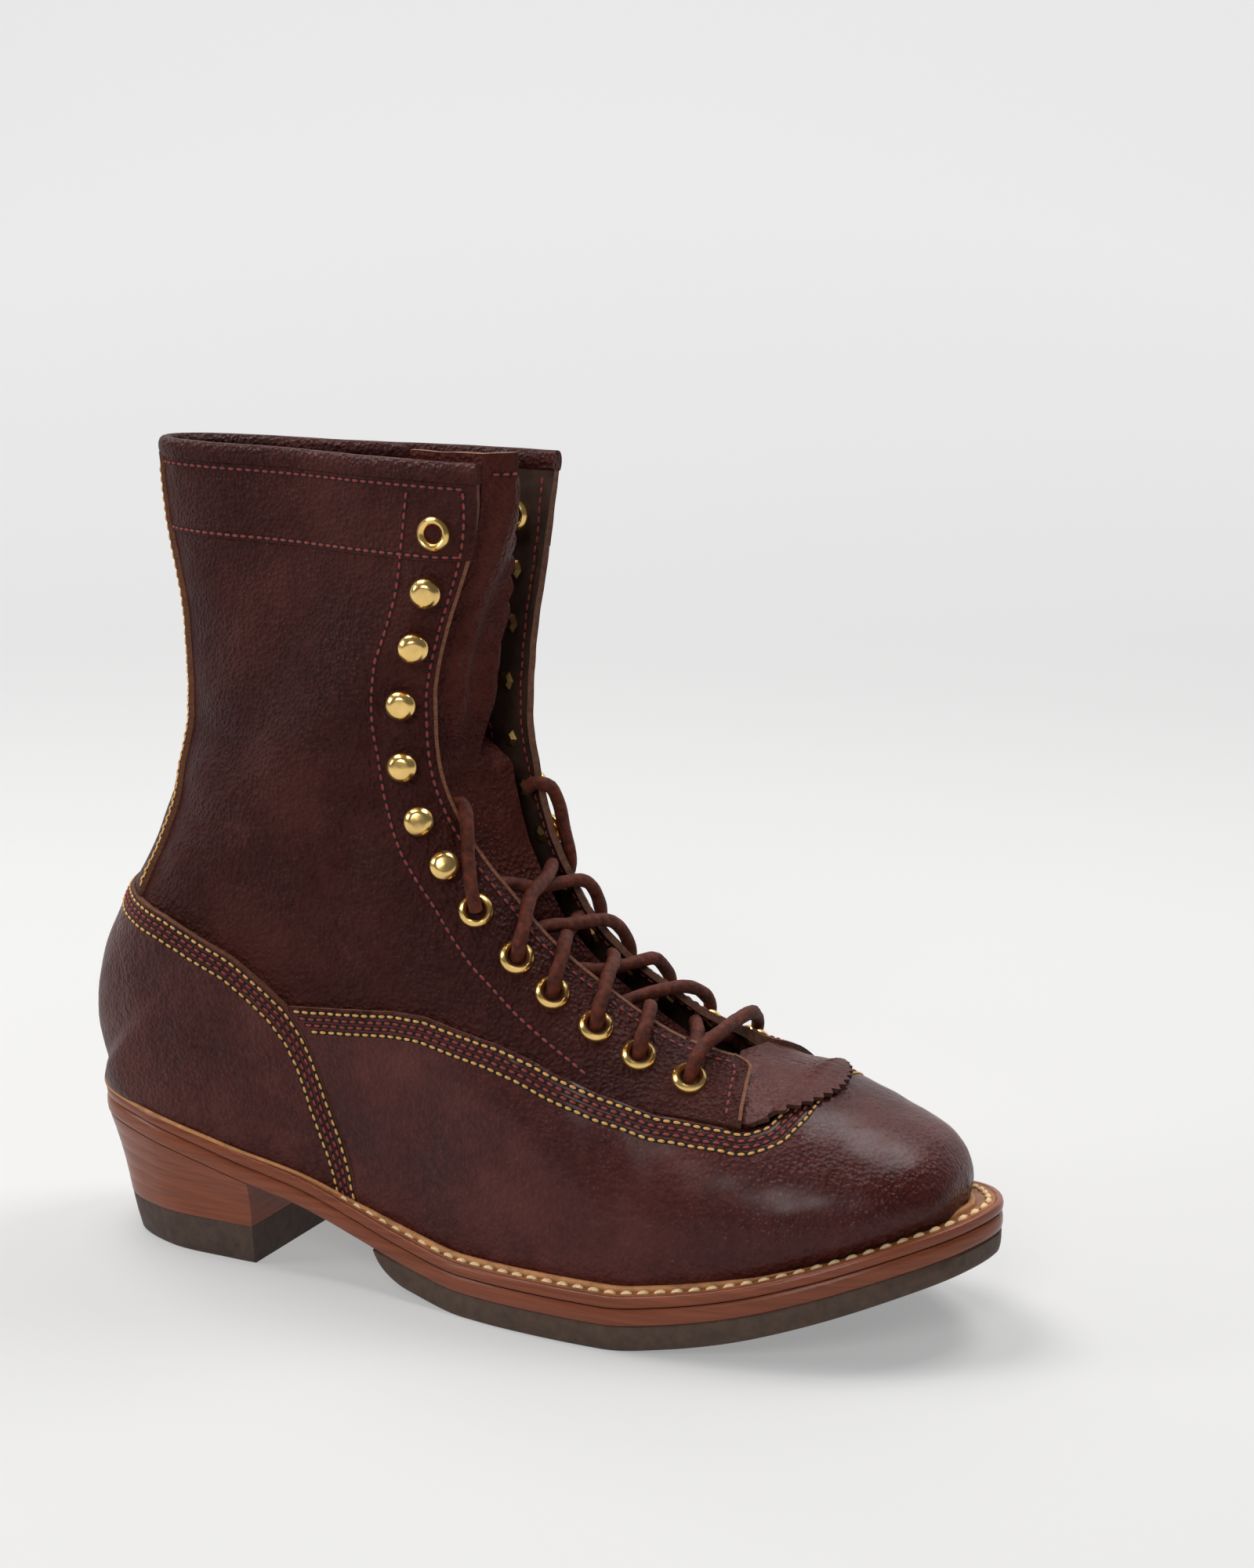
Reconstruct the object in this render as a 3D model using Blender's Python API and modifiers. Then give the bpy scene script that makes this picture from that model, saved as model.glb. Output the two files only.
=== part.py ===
"""Right work boot with a high laced shaft, a stacked heel and a half sole, standing empty on its sole.

Metres, +Z up, the toe towards +X, the outer side of the foot towards -Y.
"""

import math

import bmesh
import bpy
import numpy as np
from mathutils import Matrix, Vector

NAME = "logger_boot"
OUTER = -1
INNER = 1
SIDES = (OUTER, INNER)

# Sole
SOLE_LENGTH = 0.295
BALL_WIDTH = 0.104
RUBBER = 0.0075
MIDSOLE = 0.005
WELT = 0.0035
HEEL_RISE = 0.0315
TOE_SPRING = 0.0245
FLAT_TO = 0.66
RUBBER_START = 0.115
RUBBER_END_ROUND = 0.012
TOE_RUBBER = 0.0064
HEEL_LENGTH = 0.069
HEEL_LIFT = 0.012
HEEL_TAPER = 0.0035
HEEL_PITCH = 0.008
STEP = 0.0006
BEAD = 0.001
INSOLE = 0.003

# Upper
INSTEP = 0.091
SHAFT_TOP = 0.246
WALL = 0.002
VAMP = 0.0014
COUNTER = 0.0018
BACKSTAY = 0.0012
BACKSTAY_WIDTH = 0.022
BINDING = 0.0009
BINDING_DEPTH = 0.005
TONGUE = 0.0022
TONGUE_WING = 0.016
TONGUE_RISE = 0.003
TONGUE_BULGE = 0.009
KILTIE = 0.0014

# Clearances: between faces that lie together, and between pieces that only pass each other
GAP = 0.0003
CLEAR = 0.0006

# Lacing
EYELET_RIM = 0.0105
EYELET_BORE = 0.0052
EYELET_HEIGHT = 0.0013
HOOK_DOME = 0.009
HOOK_HEIGHT = 0.0058
EDGE_TO_HOLE = 0.0145
LACE = 0.0042

# Sole outline from the toe's tip along the outer side and back: share of the length, share of the ball width
OUTLINE = (
    (1.0, 0.030),
    (0.982, -0.125),
    (0.933, -0.275),
    (0.860, -0.388),
    (0.767, -0.463),
    (0.660, -0.500),
    (0.550, -0.478),
    (0.433, -0.410),
    (0.317, -0.362),
    (0.200, -0.350),
    (0.100, -0.315),
    (0.030, -0.205),
    (0.0, 0.0),
    (0.030, 0.205),
    (0.100, 0.312),
    (0.200, 0.322),
    (0.317, 0.290),
    (0.433, 0.275),
    (0.550, 0.340),
    (0.660, 0.440),
    (0.760, 0.487),
    (0.853, 0.448),
    (0.927, 0.345),
    (0.979, 0.190),
)

# Bottom of the midsole: share of the length, share of the heel rise, share of the toe spring
PROFILE = (
    (0.0, 1.0, 0.0),
    (0.10, 0.89, 0.0),
    (0.225, 0.63, 0.0),
    (0.30, 0.47, 0.0),
    (0.37, 0.27, 0.0),
    (0.43, 0.11, 0.0),
    (0.50, 0.0, 0.0),
    (0.58, 0.0, 0.0),
    (0.66, 0.0, 0.0),
    (0.72, 0.0, 0.085),
    (0.78, 0.0, 0.22),
    (0.86, 0.0, 0.49),
    (0.93, 0.0, 0.76),
    (1.0, 0.0, 1.0),
)

# Margin between the outline and the upper's foot: share of the length, share of the ball width
MARGIN = (
    (0.0, 0.029),
    (0.15, 0.034),
    (0.30, 0.055),
    (0.45, 0.072),
    (0.62, 0.084),
    (0.80, 0.090),
    (1.0, 0.115),
)

# The welt from its outer edge to its inner one: share of its width, height over the welt in beads
WELT_SECTION = (
    (0.0, -0.3),
    (0.18, 0.0),
    (0.27, 1.0),
    (0.41, 1.0),
    (0.50, 0.0),
    (1.0, 0.0),
)

# Sections of the foot, each in a plane across it. Columns: where it stands (share of the length), front edge or
# ridge on the outer and on the inner side (shares of the length), its height over the welt (share of the instep),
# ridge off the middle, half gap outer and inner, half width outer and inner (shares of the ball width), widest place
FOOT = (
    (0.958, 0.962, 0.962, 0.075, 0.030, 0.000, 0.000, 0.000, 0.000, 0.60),
    (0.954, 0.956, 0.956, 0.135, 0.032, 0.000, 0.000, 0.130, 0.115, 0.62),
    (0.94, 0.94, 0.94, 0.205, 0.035, 0.000, 0.000, 0.200, 0.190, 0.64),
    (0.916, 0.914, 0.914, 0.270, 0.040, 0.000, 0.000, 0.265, 0.270, 0.66),
    (0.884, 0.881, 0.881, 0.340, 0.045, 0.000, 0.000, 0.320, 0.335, 0.68),
    (0.843, 0.842, 0.842, 0.425, 0.050, 0.000, 0.000, 0.365, 0.390, 0.70),
    (0.806, 0.806, 0.806, 0.505, 0.055, 0.000, 0.000, 0.392, 0.415, 0.71),
    (0.7626, 0.7656, 0.7676, 0.570, 0.055, 0.060, 0.055, 0.408, 0.424, 0.72),
    (0.7191, 0.7232, 0.7252, 0.640, 0.050, 0.110, 0.100, 0.420, 0.418, 0.74),
    (0.6747, 0.6787, 0.6787, 0.715, 0.045, 0.122, 0.115, 0.428, 0.402, 0.74),
    (0.6312, 0.6333, 0.6333, 0.795, 0.040, 0.128, 0.125, 0.426, 0.380, 0.74),
    (0.5868, 0.5888, 0.5858, 0.895, 0.030, 0.135, 0.135, 0.415, 0.350, 0.72),
    (0.5424, 0.5484, 0.5504, 1.000, 0.020, 0.144, 0.144, 0.400, 0.325, 0.70),
)

# Sections of the leg, which lean more and more towards the collar. Columns: foot or back (share of the length),
# height of the back (share of the rise from the seat to the collar, None on the welt), front edge outer and inner
# (shares of the length), its height (share of the rise from the instep to the collar), half gap, splay at the
# edge, half width outer and inner, pinch (shares of the ball width)
LEG = (
    (0.495, None, 0.513, 0.525, 0.085, 0.150, 0.004, 0.375, 0.315, 0.0),
    (0.439, None, 0.482, 0.505, 0.163, 0.158, 0.007, 0.350, 0.315, 0.0),
    (0.379, None, 0.461, 0.493, 0.236, 0.166, 0.010, 0.335, 0.318, 0.0),
    (0.311, None, 0.448, 0.485, 0.297, 0.172, 0.012, 0.330, 0.322, 0.0),
    (0.238, None, 0.441, 0.480, 0.351, 0.176, 0.014, 0.330, 0.326, 0.0),
    (0.166, None, 0.438, 0.476, 0.398, 0.178, 0.015, 0.332, 0.328, 0.0),
    (0.105, None, 0.437, 0.475, 0.438, 0.178, 0.016, 0.334, 0.328, 0.0),
    (0.059, None, 0.437, 0.475, 0.470, 0.178, 0.016, 0.334, 0.327, 0.0),
    (0.027, None, 0.437, 0.475, 0.498, 0.178, 0.017, 0.333, 0.326, 0.0),
    (0.010, None, 0.437, 0.475, 0.523, 0.178, 0.017, 0.332, 0.325, 0.0),
    (0.003, 0.045, 0.439, 0.476, 0.552, 0.178, 0.018, 0.330, 0.323, 0.0),
    (-0.001, 0.095, 0.442, 0.477, 0.582, 0.178, 0.020, 0.326, 0.320, 0.0),
    (0.003, 0.150, 0.446, 0.479, 0.614, 0.176, 0.023, 0.320, 0.315, 0.0),
    (0.015, 0.206, 0.451, 0.481, 0.647, 0.175, 0.027, 0.312, 0.308, 0.0),
    (0.034, 0.266, 0.457, 0.483, 0.683, 0.173, 0.032, 0.302, 0.300, 0.002),
    (0.059, 0.332, 0.464, 0.485, 0.719, 0.170, 0.039, 0.290, 0.290, 0.005),
    (0.082, 0.402, 0.471, 0.487, 0.755, 0.167, 0.048, 0.276, 0.280, 0.010),
    (0.102, 0.482, 0.479, 0.489, 0.795, 0.163, 0.058, 0.262, 0.270, 0.016),
    (0.114, 0.563, 0.486, 0.491, 0.835, 0.159, 0.070, 0.248, 0.258, 0.023),
    (0.118, 0.643, 0.491, 0.492, 0.874, 0.155, 0.082, 0.235, 0.248, 0.030),
    (0.115, 0.733, 0.494, 0.493, 0.912, 0.151, 0.094, 0.223, 0.238, 0.036),
    (0.103, 0.829, 0.495, 0.494, 0.946, 0.147, 0.105, 0.212, 0.230, 0.041),
    (0.092, 0.925, 0.496, 0.495, 0.976, 0.143, 0.115, 0.202, 0.223, 0.045),
    (0.087, 1.018, 0.496, 0.495, 1.0, 0.140, 0.122, 0.195, 0.218, 0.048),
)
LEG_WIDEST = 0.55

# How the sections' curves run: rounding behind the widest place, fading of the ridge and of the splay towards the
# foot, place and span of the pinch, and how many sections of the leg the foot's ridge takes to die out
BACK_POWER = 2.5
RIDGE_FADE = 1.5
SPLAY_FADE = 2.5
PINCH_AT = 0.58
PINCH_SPAN = 0.2
EASE_ROWS = 5

# The bead on the welt fades out over these shares of the length
BEAD_START = 0.34
BEAD_WHOLE = 0.46

# The pinked flap: tip and back edge as shares of the length, half width and middle as shares of the ball width
KILTIE_TIP = 0.838
KILTIE_BACK = 0.786
KILTIE_HALF = 0.235
KILTIE_MIDDLE = 0.02

# Upper edge of the heel counter seen from the side: share of the length, share of the shaft's height
COUNTER_LINE = (
    (-0.05, 0.470),
    (0.070, 0.457),
    (0.139, 0.437),
    (0.176, 0.419),
    (0.222, 0.398),
    (0.261, 0.367),
    (0.286, 0.343),
    (0.307, 0.312),
    (0.323, 0.274),
    (0.338, 0.220),
    (0.353, 0.174),
    (0.362, 0.140),
    (0.375, 0.050),
    (0.400, -0.400),
    (1.000, -1.000),
)

# Upper edge of the vamp seen from the side, which climbs to the ridge in front of the throat: share of the length,
# share of the instep
VAMP_LINE = (
    (0.200, 0.908),
    (0.326, 0.933),
    (0.410, 0.952),
    (0.447, 0.946),
    (0.485, 0.916),
    (0.526, 0.889),
    (0.563, 0.846),
    (0.600, 0.797),
    (0.637, 0.754),
    (0.690, 0.708),
    (0.730, 0.689),
    (0.775, 0.668),
    (0.793, 0.681),
    (0.803, 0.730),
    (0.812, 0.865),
    (0.850, 2.163),
)

# Half width of the strip up the back seam: share of the shaft's height, share of the strip's width
BACKSTAY_TAPER = (
    (0.40, 1.90),
    (0.49, 1.35),
    (0.53, 0.95),
    (0.57, 0.65),
    (0.62, 0.50),
    (0.70, 0.41),
    (0.82, 0.34),
    (1.00, 0.30),
)

# A speed hook's outline from the top of its dome down to its foot: share of the dome's radius, share of its height
HOOK_PROFILE = (
    (0.0, 1.0),
    (0.72, 0.84),
    (1.0, 0.48),
    (0.5, 0.42),
    (0.5, 0.0),
    (0.0, 0.0),
)

# Holes up each facing, as shares of the facing's edge from the throat to the collar
LOW_EYELETS = (0.132, 0.202, 0.267, 0.337, 0.401, 0.479)
HOOKS = (0.545, 0.603, 0.664, 0.737, 0.811, 0.879)
TOP_EYELET = 0.941

# Loose end of the lace from its eyelet to the facing's edge: share of the edge, share of the hole's distance from it
LACE_END = (
    (0.508, 0.52),
    (0.530, 0.28),
    (0.556, 0.08),
    (0.580, 0.00),
)

# Cells from the front edge to the widest place, and from there to the foot or the back
FRONT_CELLS = 6
BACK_CELLS = 5

# Stations along the pieces of the sole, and how far they crowd towards its ends
HEEL_STATIONS = 20
SOLE_STATIONS = 40
INSOLE_STATIONS = 36
WELT_STATIONS = 60
CROWDING = 0.55

# Points that a fine outline is read from, and points across each of the tongue's wings
FINE = 960
TONGUE_CELLS = 2


def smooth(at, knots, values):
    """Read a smooth curve through the values at the knots."""
    knots = np.asarray(knots, float)
    values = np.asarray(values, float)
    at = np.clip(np.asarray(at, float), knots[0], knots[-1])
    if values.ndim > 1:
        return np.stack([smooth(at, knots, column) for column in values.T], -1)
    step = np.diff(knots)
    rise = np.diff(values) / step
    slope = np.concatenate([rise[:1], rise[1:], rise[-1:]])
    slope[1:-1] = (rise[:-1] * step[1:] + rise[1:] * step[:-1]) / (step[:-1] + step[1:])
    slope[1:-1][rise[:-1] * rise[1:] <= 0] = 0.0
    k = np.clip(np.searchsorted(knots, at, side="right") - 1, 0, len(step) - 1)
    t = (at - knots[k]) / step[k]
    h = step[k]
    return (
        (2 * t**3 - 3 * t**2 + 1) * values[k]
        + (t**3 - 2 * t**2 + t) * h * slope[k]
        + (3 * t**2 - 2 * t**3) * values[k + 1]
        + (t**3 - t**2) * h * slope[k + 1]
    )


def lengths_along(points):
    """Running length at each point of a polyline."""
    return np.concatenate([[0.0], np.cumsum(np.linalg.norm(np.diff(points, axis=0), axis=1))])


def sole_outline(count, inset=0.0):
    """Closed outline from the toe's tip along the outer side, the same distance inside the sole all round."""
    points = np.array(OUTLINE) * (SOLE_LENGTH, BALL_WIDTH)
    wrapped = np.vstack([points[-3:], points, points[:4]])
    knots = lengths_along(wrapped)
    start, end = knots[3], knots[3 + len(points)]
    ring = smooth(start + (end - start) * np.arange(count) / count, knots, wrapped)
    return inset_ring(ring, inset)


def inset_ring(ring, inset):
    """Move a ring inwards by one distance, or by one for each point."""
    along = np.roll(ring, -1, 0) - np.roll(ring, 1, 0)
    along /= np.linalg.norm(along, axis=1)[:, None]
    outward = np.stack([-along[:, 1], along[:, 0]], 1)
    inset = np.broadcast_to(inset, len(ring))
    return ring + outward * inset[:, None] * ring_turn(ring)


def ring_turn(ring):
    """Plus one for a ring that runs clockwise seen from above, minus one otherwise."""
    x, y = ring.T
    area = np.sum(x * np.roll(y, -1) - np.roll(x, -1) * y)
    return 1.0 if area > 0 else -1.0


def margin(x):
    """Width of welt that shows outside the upper."""
    share, width = np.array(MARGIN).T
    return smooth(x / SOLE_LENGTH, share, width * BALL_WIDTH)


def feather_ring(count, inset=0.0):
    """The line where the upper's outer face meets the welt, or one a distance inside it."""
    ring = sole_outline(count)
    return inset_ring(ring, margin(ring[:, 0]) + inset)


def side_y(ring, x, side):
    """The ring's y at x, on one side of the foot."""
    tip = np.argmax(ring[:, 0])
    heel = np.argmin(ring[:, 0])
    count = len(ring)
    step = 1 if side == OUTER else -1
    number = (step * (heel - tip)) % count
    run = ring[(tip + step * np.arange(number + 1)) % count][::-1]
    return np.interp(x, run[:, 0], run[:, 1])


def midsole_bottom(x):
    """Height of the midsole's underside."""
    share, heel, toe = np.array(PROFILE).T
    return RUBBER + smooth(x / SOLE_LENGTH, share, heel * HEEL_RISE + toe * TOE_SPRING)


def welt_top(x):
    """Height of the welt's upper face, on which the upper stands."""
    return midsole_bottom(x) + MIDSOLE + GAP + WELT


def section_rows():
    """Each section's foot, front edge and widths in metres, from the toe to the collar."""
    seat = welt_top(0.0)
    ring = feather_ring(FINE)
    rows = []
    for at, outer, inner, rise, ridge, gap_outer, gap_inner, half_outer, half_inner, widest in FOOT:
        x = min(at * SOLE_LENGTH, ring[:, 0].max())
        base = welt_top(x) + CLEAR
        rows.append({
            "down": (x, base), "foot": {s: side_y(ring, x, s) for s in SIDES},
            "front": {OUTER: outer * SOLE_LENGTH, INNER: inner * SOLE_LENGTH}, "height": base + rise * INSTEP,
            "ridge": ridge * BALL_WIDTH, "gap": {OUTER: gap_outer * BALL_WIDTH, INNER: gap_inner * BALL_WIDTH},
            "half": {OUTER: half_outer * BALL_WIDTH, INNER: half_inner * BALL_WIDTH},
            "widest": widest, "splay": 0.0, "pinch": 0.0,
        })
    foot_end = rows[-1]
    for k, (at, back, outer, inner, rise, gap, splay, half_outer, half_inner, pinch) in enumerate(LEG):
        x = at * SOLE_LENGTH
        foot = {s: 0.0 for s in SIDES}
        if back is not None:
            down = (x, seat + back * (SHAFT_TOP - seat))
        elif LEG[k + 1][1] is not None:
            down = (ring[:, 0].min(), welt_top(x) + CLEAR)
        else:
            down = (x, welt_top(x) + CLEAR)
            foot = {s: side_y(ring, x, s) for s in SIDES}
        ease = max(0.0, 1 - (k + 1) / EASE_ROWS)
        rows.append({
            "down": down, "foot": foot,
            "front": {OUTER: outer * SOLE_LENGTH, INNER: inner * SOLE_LENGTH},
            "height": foot_end["height"] + rise * (SHAFT_TOP - foot_end["height"]),
            "ridge": foot_end["ridge"] * ease,
            "gap": {s: gap * BALL_WIDTH for s in SIDES},
            "half": {OUTER: half_outer * BALL_WIDTH, INNER: half_inner * BALL_WIDTH},
            "widest": LEG_WIDEST + (foot_end["widest"] - LEG_WIDEST) * ease**2,
            "splay": splay * BALL_WIDTH, "pinch": pinch * BALL_WIDTH,
        })
    return rows


def section(row, side, front_cells=FRONT_CELLS, back_cells=BACK_CELLS):
    """One side of a section, from its front edge to its foot or to the back seam."""
    half, gap = row["half"][side], row["gap"][side]
    start = math.asin(min(0.97, gap / half)) if half > 0 else 0.0
    turn = start + (math.pi / 2 - start) * np.linspace(0, 1, front_cells + 1)
    depth = row["widest"] * (1 - np.cos(turn))
    across = half * np.sin(turn)
    turn = np.linspace(0, math.pi / 2, back_cells + 1)[1:]
    end = abs(row["foot"][side])
    back_depth = row["widest"] + (1 - row["widest"]) * np.sin(turn) ** (2 / BACK_POWER)
    back_across = end + (half - end) * np.cos(turn)
    depth = np.concatenate([depth, back_depth])
    across = np.concatenate([across, back_across])
    depth = (depth - depth[0]) / (1 - depth[0])
    across = across + row["splay"] * (1 - depth) ** SPLAY_FADE
    across = across - row["pinch"] * np.exp(-(((depth - PINCH_AT) / PINCH_SPAN) ** 2))
    x = row["front"][side] + (row["down"][0] - row["front"][side]) * depth
    z = row["height"] + (row["down"][1] - row["height"]) * depth
    y = side * across + row["ridge"] * (1 - depth) ** RIDGE_FADE
    if half == 0:
        y = row["ridge"] + (row["foot"][side] - row["ridge"]) * depth
    return np.stack([x, y, z], 1)


class Skin:
    """The upper's outer face: points, outward normals and faces, shared along the ridge, the nose and the back."""

    def __init__(self):
        rows = section_rows()
        self.sections = {s: np.array([section(row, s) for row in rows]) for s in SIDES}
        self.rows, self.columns = self.sections[OUTER].shape[:2]
        self.open_from = next(i for i, row in enumerate(rows) if row["gap"][OUTER] > 0)
        self.back_from = next(i for i, row in enumerate(rows) if i > self.open_from and row["foot"][OUTER] == 0)
        self.number = {s: np.zeros((self.rows, self.columns), int) for s in SIDES}
        points = []
        for i in range(self.rows):
            for side in SIDES:
                for j in range(self.columns):
                    at_front = j == 0 and i < self.open_from
                    at_back = j == self.columns - 1 and i >= self.back_from
                    if side == INNER and (i == 0 or at_front or at_back):
                        self.number[INNER][i, j] = self.number[OUTER][i, j]
                        continue
                    self.number[side][i, j] = len(points)
                    points.append(self.sections[side][i, j])
        self.points = np.array(points)
        self.faces = []
        for side in SIDES:
            n = self.number[side]
            for i in range(self.rows - 1):
                for j in range(self.columns - 1):
                    face = [n[i, j], n[i, j + 1], n[i + 1, j + 1], n[i + 1, j]]
                    self.faces += halves(self.points, face if side == INNER else face[::-1])
        self.normals = point_normals(self.points, self.faces)
        self.from_edge = np.zeros(len(points))
        self.from_back = np.zeros(len(points))
        self.from_top = np.zeros(len(points))
        for side in SIDES:
            for i in range(self.rows):
                run = lengths_along(self.sections[side][i])
                self.from_edge[self.number[side][i]] = run
                self.from_back[self.number[side][i]] = run[-1] - run if i >= self.back_from else 1.0
            for j in range(self.columns):
                self.from_top[self.number[side][::-1, j]] = lengths_along(self.sections[side][::-1, j])

    def layer(self, offset):
        """The face moved out along its normals, and never below the welt."""
        moved = self.points + self.normals * offset
        moved[:, 2] = np.maximum(moved[:, 2], welt_top(moved[:, 0]) + CLEAR)
        return moved

    def side_layer(self, side, offset):
        """The moved face as a grid of sections."""
        return self.layer(offset)[self.number[side]]


def halves(points, face):
    """A cell as two triangles that keep it convex, so that every layer of the skin bends alike."""
    a, b, c, d = face
    facing = np.cross(points[c] - points[a], points[d] - points[b])
    if facing @ (points[a] + points[c] - points[b] - points[d]) >= 0:
        split = [[a, b, c], [a, c, d]]
    else:
        split = [[a, b, d], [b, c, d]]
    return [half for half in split if len(set(half)) == 3]


def point_normals(points, faces):
    """Unit normals, the mean of the faces round each point."""
    normals = np.zeros_like(points)
    for face in faces:
        corners = points[face]
        facing = np.cross(corners[1] - corners[0], corners[2] - corners[0])
        for corner in face:
            normals[corner] += facing
    return normals / np.linalg.norm(normals, axis=1)[:, None]


def clip(table, faces, column, snap=0.1):
    """Keep the faces' part where a column of the table is above zero, cutting the cells along the line."""
    table = table.copy()
    edges = {tuple(sorted((a, b))) for face in faces for a, b in zip(face, face[1:] + face[:1])}
    moved = set()
    for a, b in sorted(edges):
        fa, fb = table[a, column], table[b, column]
        if fa * fb >= 0 or a in moved or b in moved:
            continue
        w = fa / (fa - fb)
        if w < snap:
            table[a] = table[a] * (1 - w) + table[b] * w
            table[a, column] = 0.0
            moved.add(a)
        elif w > 1 - snap:
            table[b] = table[a] * (1 - w) + table[b] * w
            table[b, column] = 0.0
            moved.add(b)
    extra = []
    cut = {}
    kept = []
    for face in faces:
        corners = []
        for a, b in zip(face, face[1:] + face[:1]):
            fa, fb = table[a, column], table[b, column]
            if fa >= 0:
                corners.append(a)
            if fa * fb < 0:
                key = tuple(sorted((a, b)))
                if key not in cut:
                    w = table[key[0], column] / (table[key[0], column] - table[key[1], column])
                    cut[key] = len(table) + len(extra)
                    extra.append(table[key[0]] * (1 - w) + table[key[1]] * w)
                corners.append(cut[key])
        inside = any(table[c, column] > 1e-9 for c in corners if c < len(table))
        if len(corners) >= 3 and inside:
            kept.append(corners)
    if extra:
        table = np.vstack([table, extra])
    return table, kept


def patch(skin, name, low, high, keeps, material):
    """A closed piece between two layers of the skin, cut to where every keep value is above zero."""
    table = np.hstack([skin.layer(low), skin.layer(high), np.array(keeps).T.reshape(len(skin.points), -1)])
    faces = skin.faces
    for k in range(len(keeps)):
        table, faces = clip(table, faces, 6 + k)
    return shell(name, table[:, :3], table[:, 3:6], faces, material)


def shell(name, low, high, faces, material):
    """A closed solid between two sets of points with the same faces, walled along the open edges."""
    used = sorted({corner for face in faces for corner in face})
    place = {corner: k for k, corner in enumerate(used)}
    count = len(used)
    points = np.vstack([high[used], low[used]])
    solid = [[place[c] for c in face] for face in faces]
    border = {}
    for face in solid:
        for a, b in zip(face, face[1:] + face[:1]):
            border[(a, b)] = (b, a) not in border
            if not border[(a, b)]:
                border[(b, a)] = False
    walls = [[b, a, a + count, b + count] for (a, b), lone in border.items() if lone]
    solid += [[c + count for c in face[::-1]] for face in faces_of(solid, count)] + walls
    return mesh_object(name, points, solid, material)


def faces_of(solid, count):
    """The faces that use the first points alone."""
    return [face for face in solid if max(face) < count]


def strip_faces(rows, columns, ring=False):
    """Faces of a grid of points, closed on itself if it is a ring."""
    faces = []
    for i in range(rows if ring else rows - 1):
        for j in range(columns - 1):
            k = (i + 1) % rows
            faces.append([i * columns + j, i * columns + j + 1, k * columns + j + 1, k * columns + j])
    return faces


def mesh_object(name, points, faces, material):
    """A mesh object in the model's collection, with its faces turned outwards and triangulated where bent."""
    mesh = bpy.data.meshes.new(name)
    mesh.from_pydata([tuple(p) for p in points], [], [tuple(int(c) for c in f) for f in faces])
    work = bmesh.new()
    work.from_mesh(mesh)
    bmesh.ops.remove_doubles(work, verts=work.verts, dist=1e-6)
    bmesh.ops.dissolve_degenerate(work, edges=work.edges, dist=1e-6)
    bmesh.ops.recalc_face_normals(work, faces=work.faces)
    work.to_mesh(mesh)
    work.free()
    mesh.shade_smooth()
    mesh.set_sharp_from_angle(angle=math.radians(40))
    mesh.materials.append(MATERIALS[material])
    thing = bpy.data.objects.new(name, mesh)
    PARTS.objects.link(thing)
    return thing


def plate(name, start, end, material, top, bottom, top_inset, bottom_inset, shift=None, stations=SOLE_STATIONS):
    """A slab of the sole between two heights, across the outline from one x to another."""
    upper_ring = sole_outline(FINE, top_inset)
    lower_ring = sole_outline(FINE, bottom_inset)
    layers = []
    for ring, height, moved in ((lower_ring, bottom, shift), (upper_ring, top, None)):
        x = ring_stations(ring, start, end, stations)
        across = np.stack([side_y(ring, x, side) for side in SIDES], 1)
        along = np.repeat(x[:, None], 2, 1)
        level = np.repeat(height(x)[:, None], 2, 1)
        if moved:
            along = moved(along)
        layers.append(np.stack([along, across, level], 2).reshape(-1, 3))
    return shell(name, layers[0], layers[1], strip_faces(stations, 2), material)


def ring_stations(ring, start, end, count):
    """Places along a ring, closer together towards its ends."""
    first = max(start, ring[:, 0].min())
    last = min(end, ring[:, 0].max())
    share = np.linspace(0, 1, count)
    share = CROWDING * (1 - np.cos(math.pi * share)) / 2 + (1 - CROWDING) * share
    return np.clip(first + (last - first) * share, first, last)


def make_outsole():
    """The rubber half sole, flat where it meets the ground, with a rounded back end and a thinner toe."""
    start = RUBBER_START

    def top(x):
        return midsole_bottom(x) - GAP

    def bottom(x):
        back = np.clip((x - start) / RUBBER_END_ROUND, 0, 1)
        thick = RUBBER * np.sqrt(np.maximum(1 - (1 - back) ** 2, 0.02))
        toe = np.clip((x / SOLE_LENGTH - FLAT_TO) / (1 - FLAT_TO), 0, 1)
        return midsole_bottom(x) - thick + (RUBBER - TOE_RUBBER) * toe**2

    return plate("outsole", start, SOLE_LENGTH, "rubber", top, bottom, STEP, STEP)


def make_midsole():
    """The full-length leather midsole."""
    return plate("midsole", 0.0, SOLE_LENGTH, "edge_leather",
                 lambda x: midsole_bottom(x) + MIDSOLE, midsole_bottom, STEP / 2, STEP / 2)


def heel_shift(level):
    """How far the heel's back end has moved forward at a level, from 0 at the seat to 1 on the ground."""
    return lambda x: x + HEEL_PITCH * level * (1 - x / HEEL_LENGTH)


def make_heel():
    """The stacked leather heel, narrower downwards, and its rubber lift."""
    lift_level = 1 - HEEL_LIFT / (HEEL_RISE + RUBBER)
    stack = plate("heel_stack", 0.0, HEEL_LENGTH, "edge_leather",
                  lambda x: midsole_bottom(x) - GAP, lambda x: np.full_like(x, HEEL_LIFT + GAP),
                  STEP, STEP + HEEL_TAPER * lift_level, heel_shift(lift_level), HEEL_STATIONS)
    lift = plate("heel_lift", 0.0, HEEL_LENGTH, "rubber",
                 lambda x: np.full_like(x, HEEL_LIFT), np.zeros_like,
                 STEP + HEEL_TAPER * lift_level, STEP + HEEL_TAPER, heel_shift(1.0), HEEL_STATIONS)
    shift = heel_shift(lift_level)
    for vertex in lift.data.vertices:
        if vertex.co.z > HEEL_LIFT / 2:
            vertex.co.x = shift(vertex.co.x)
    return stack, lift


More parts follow.
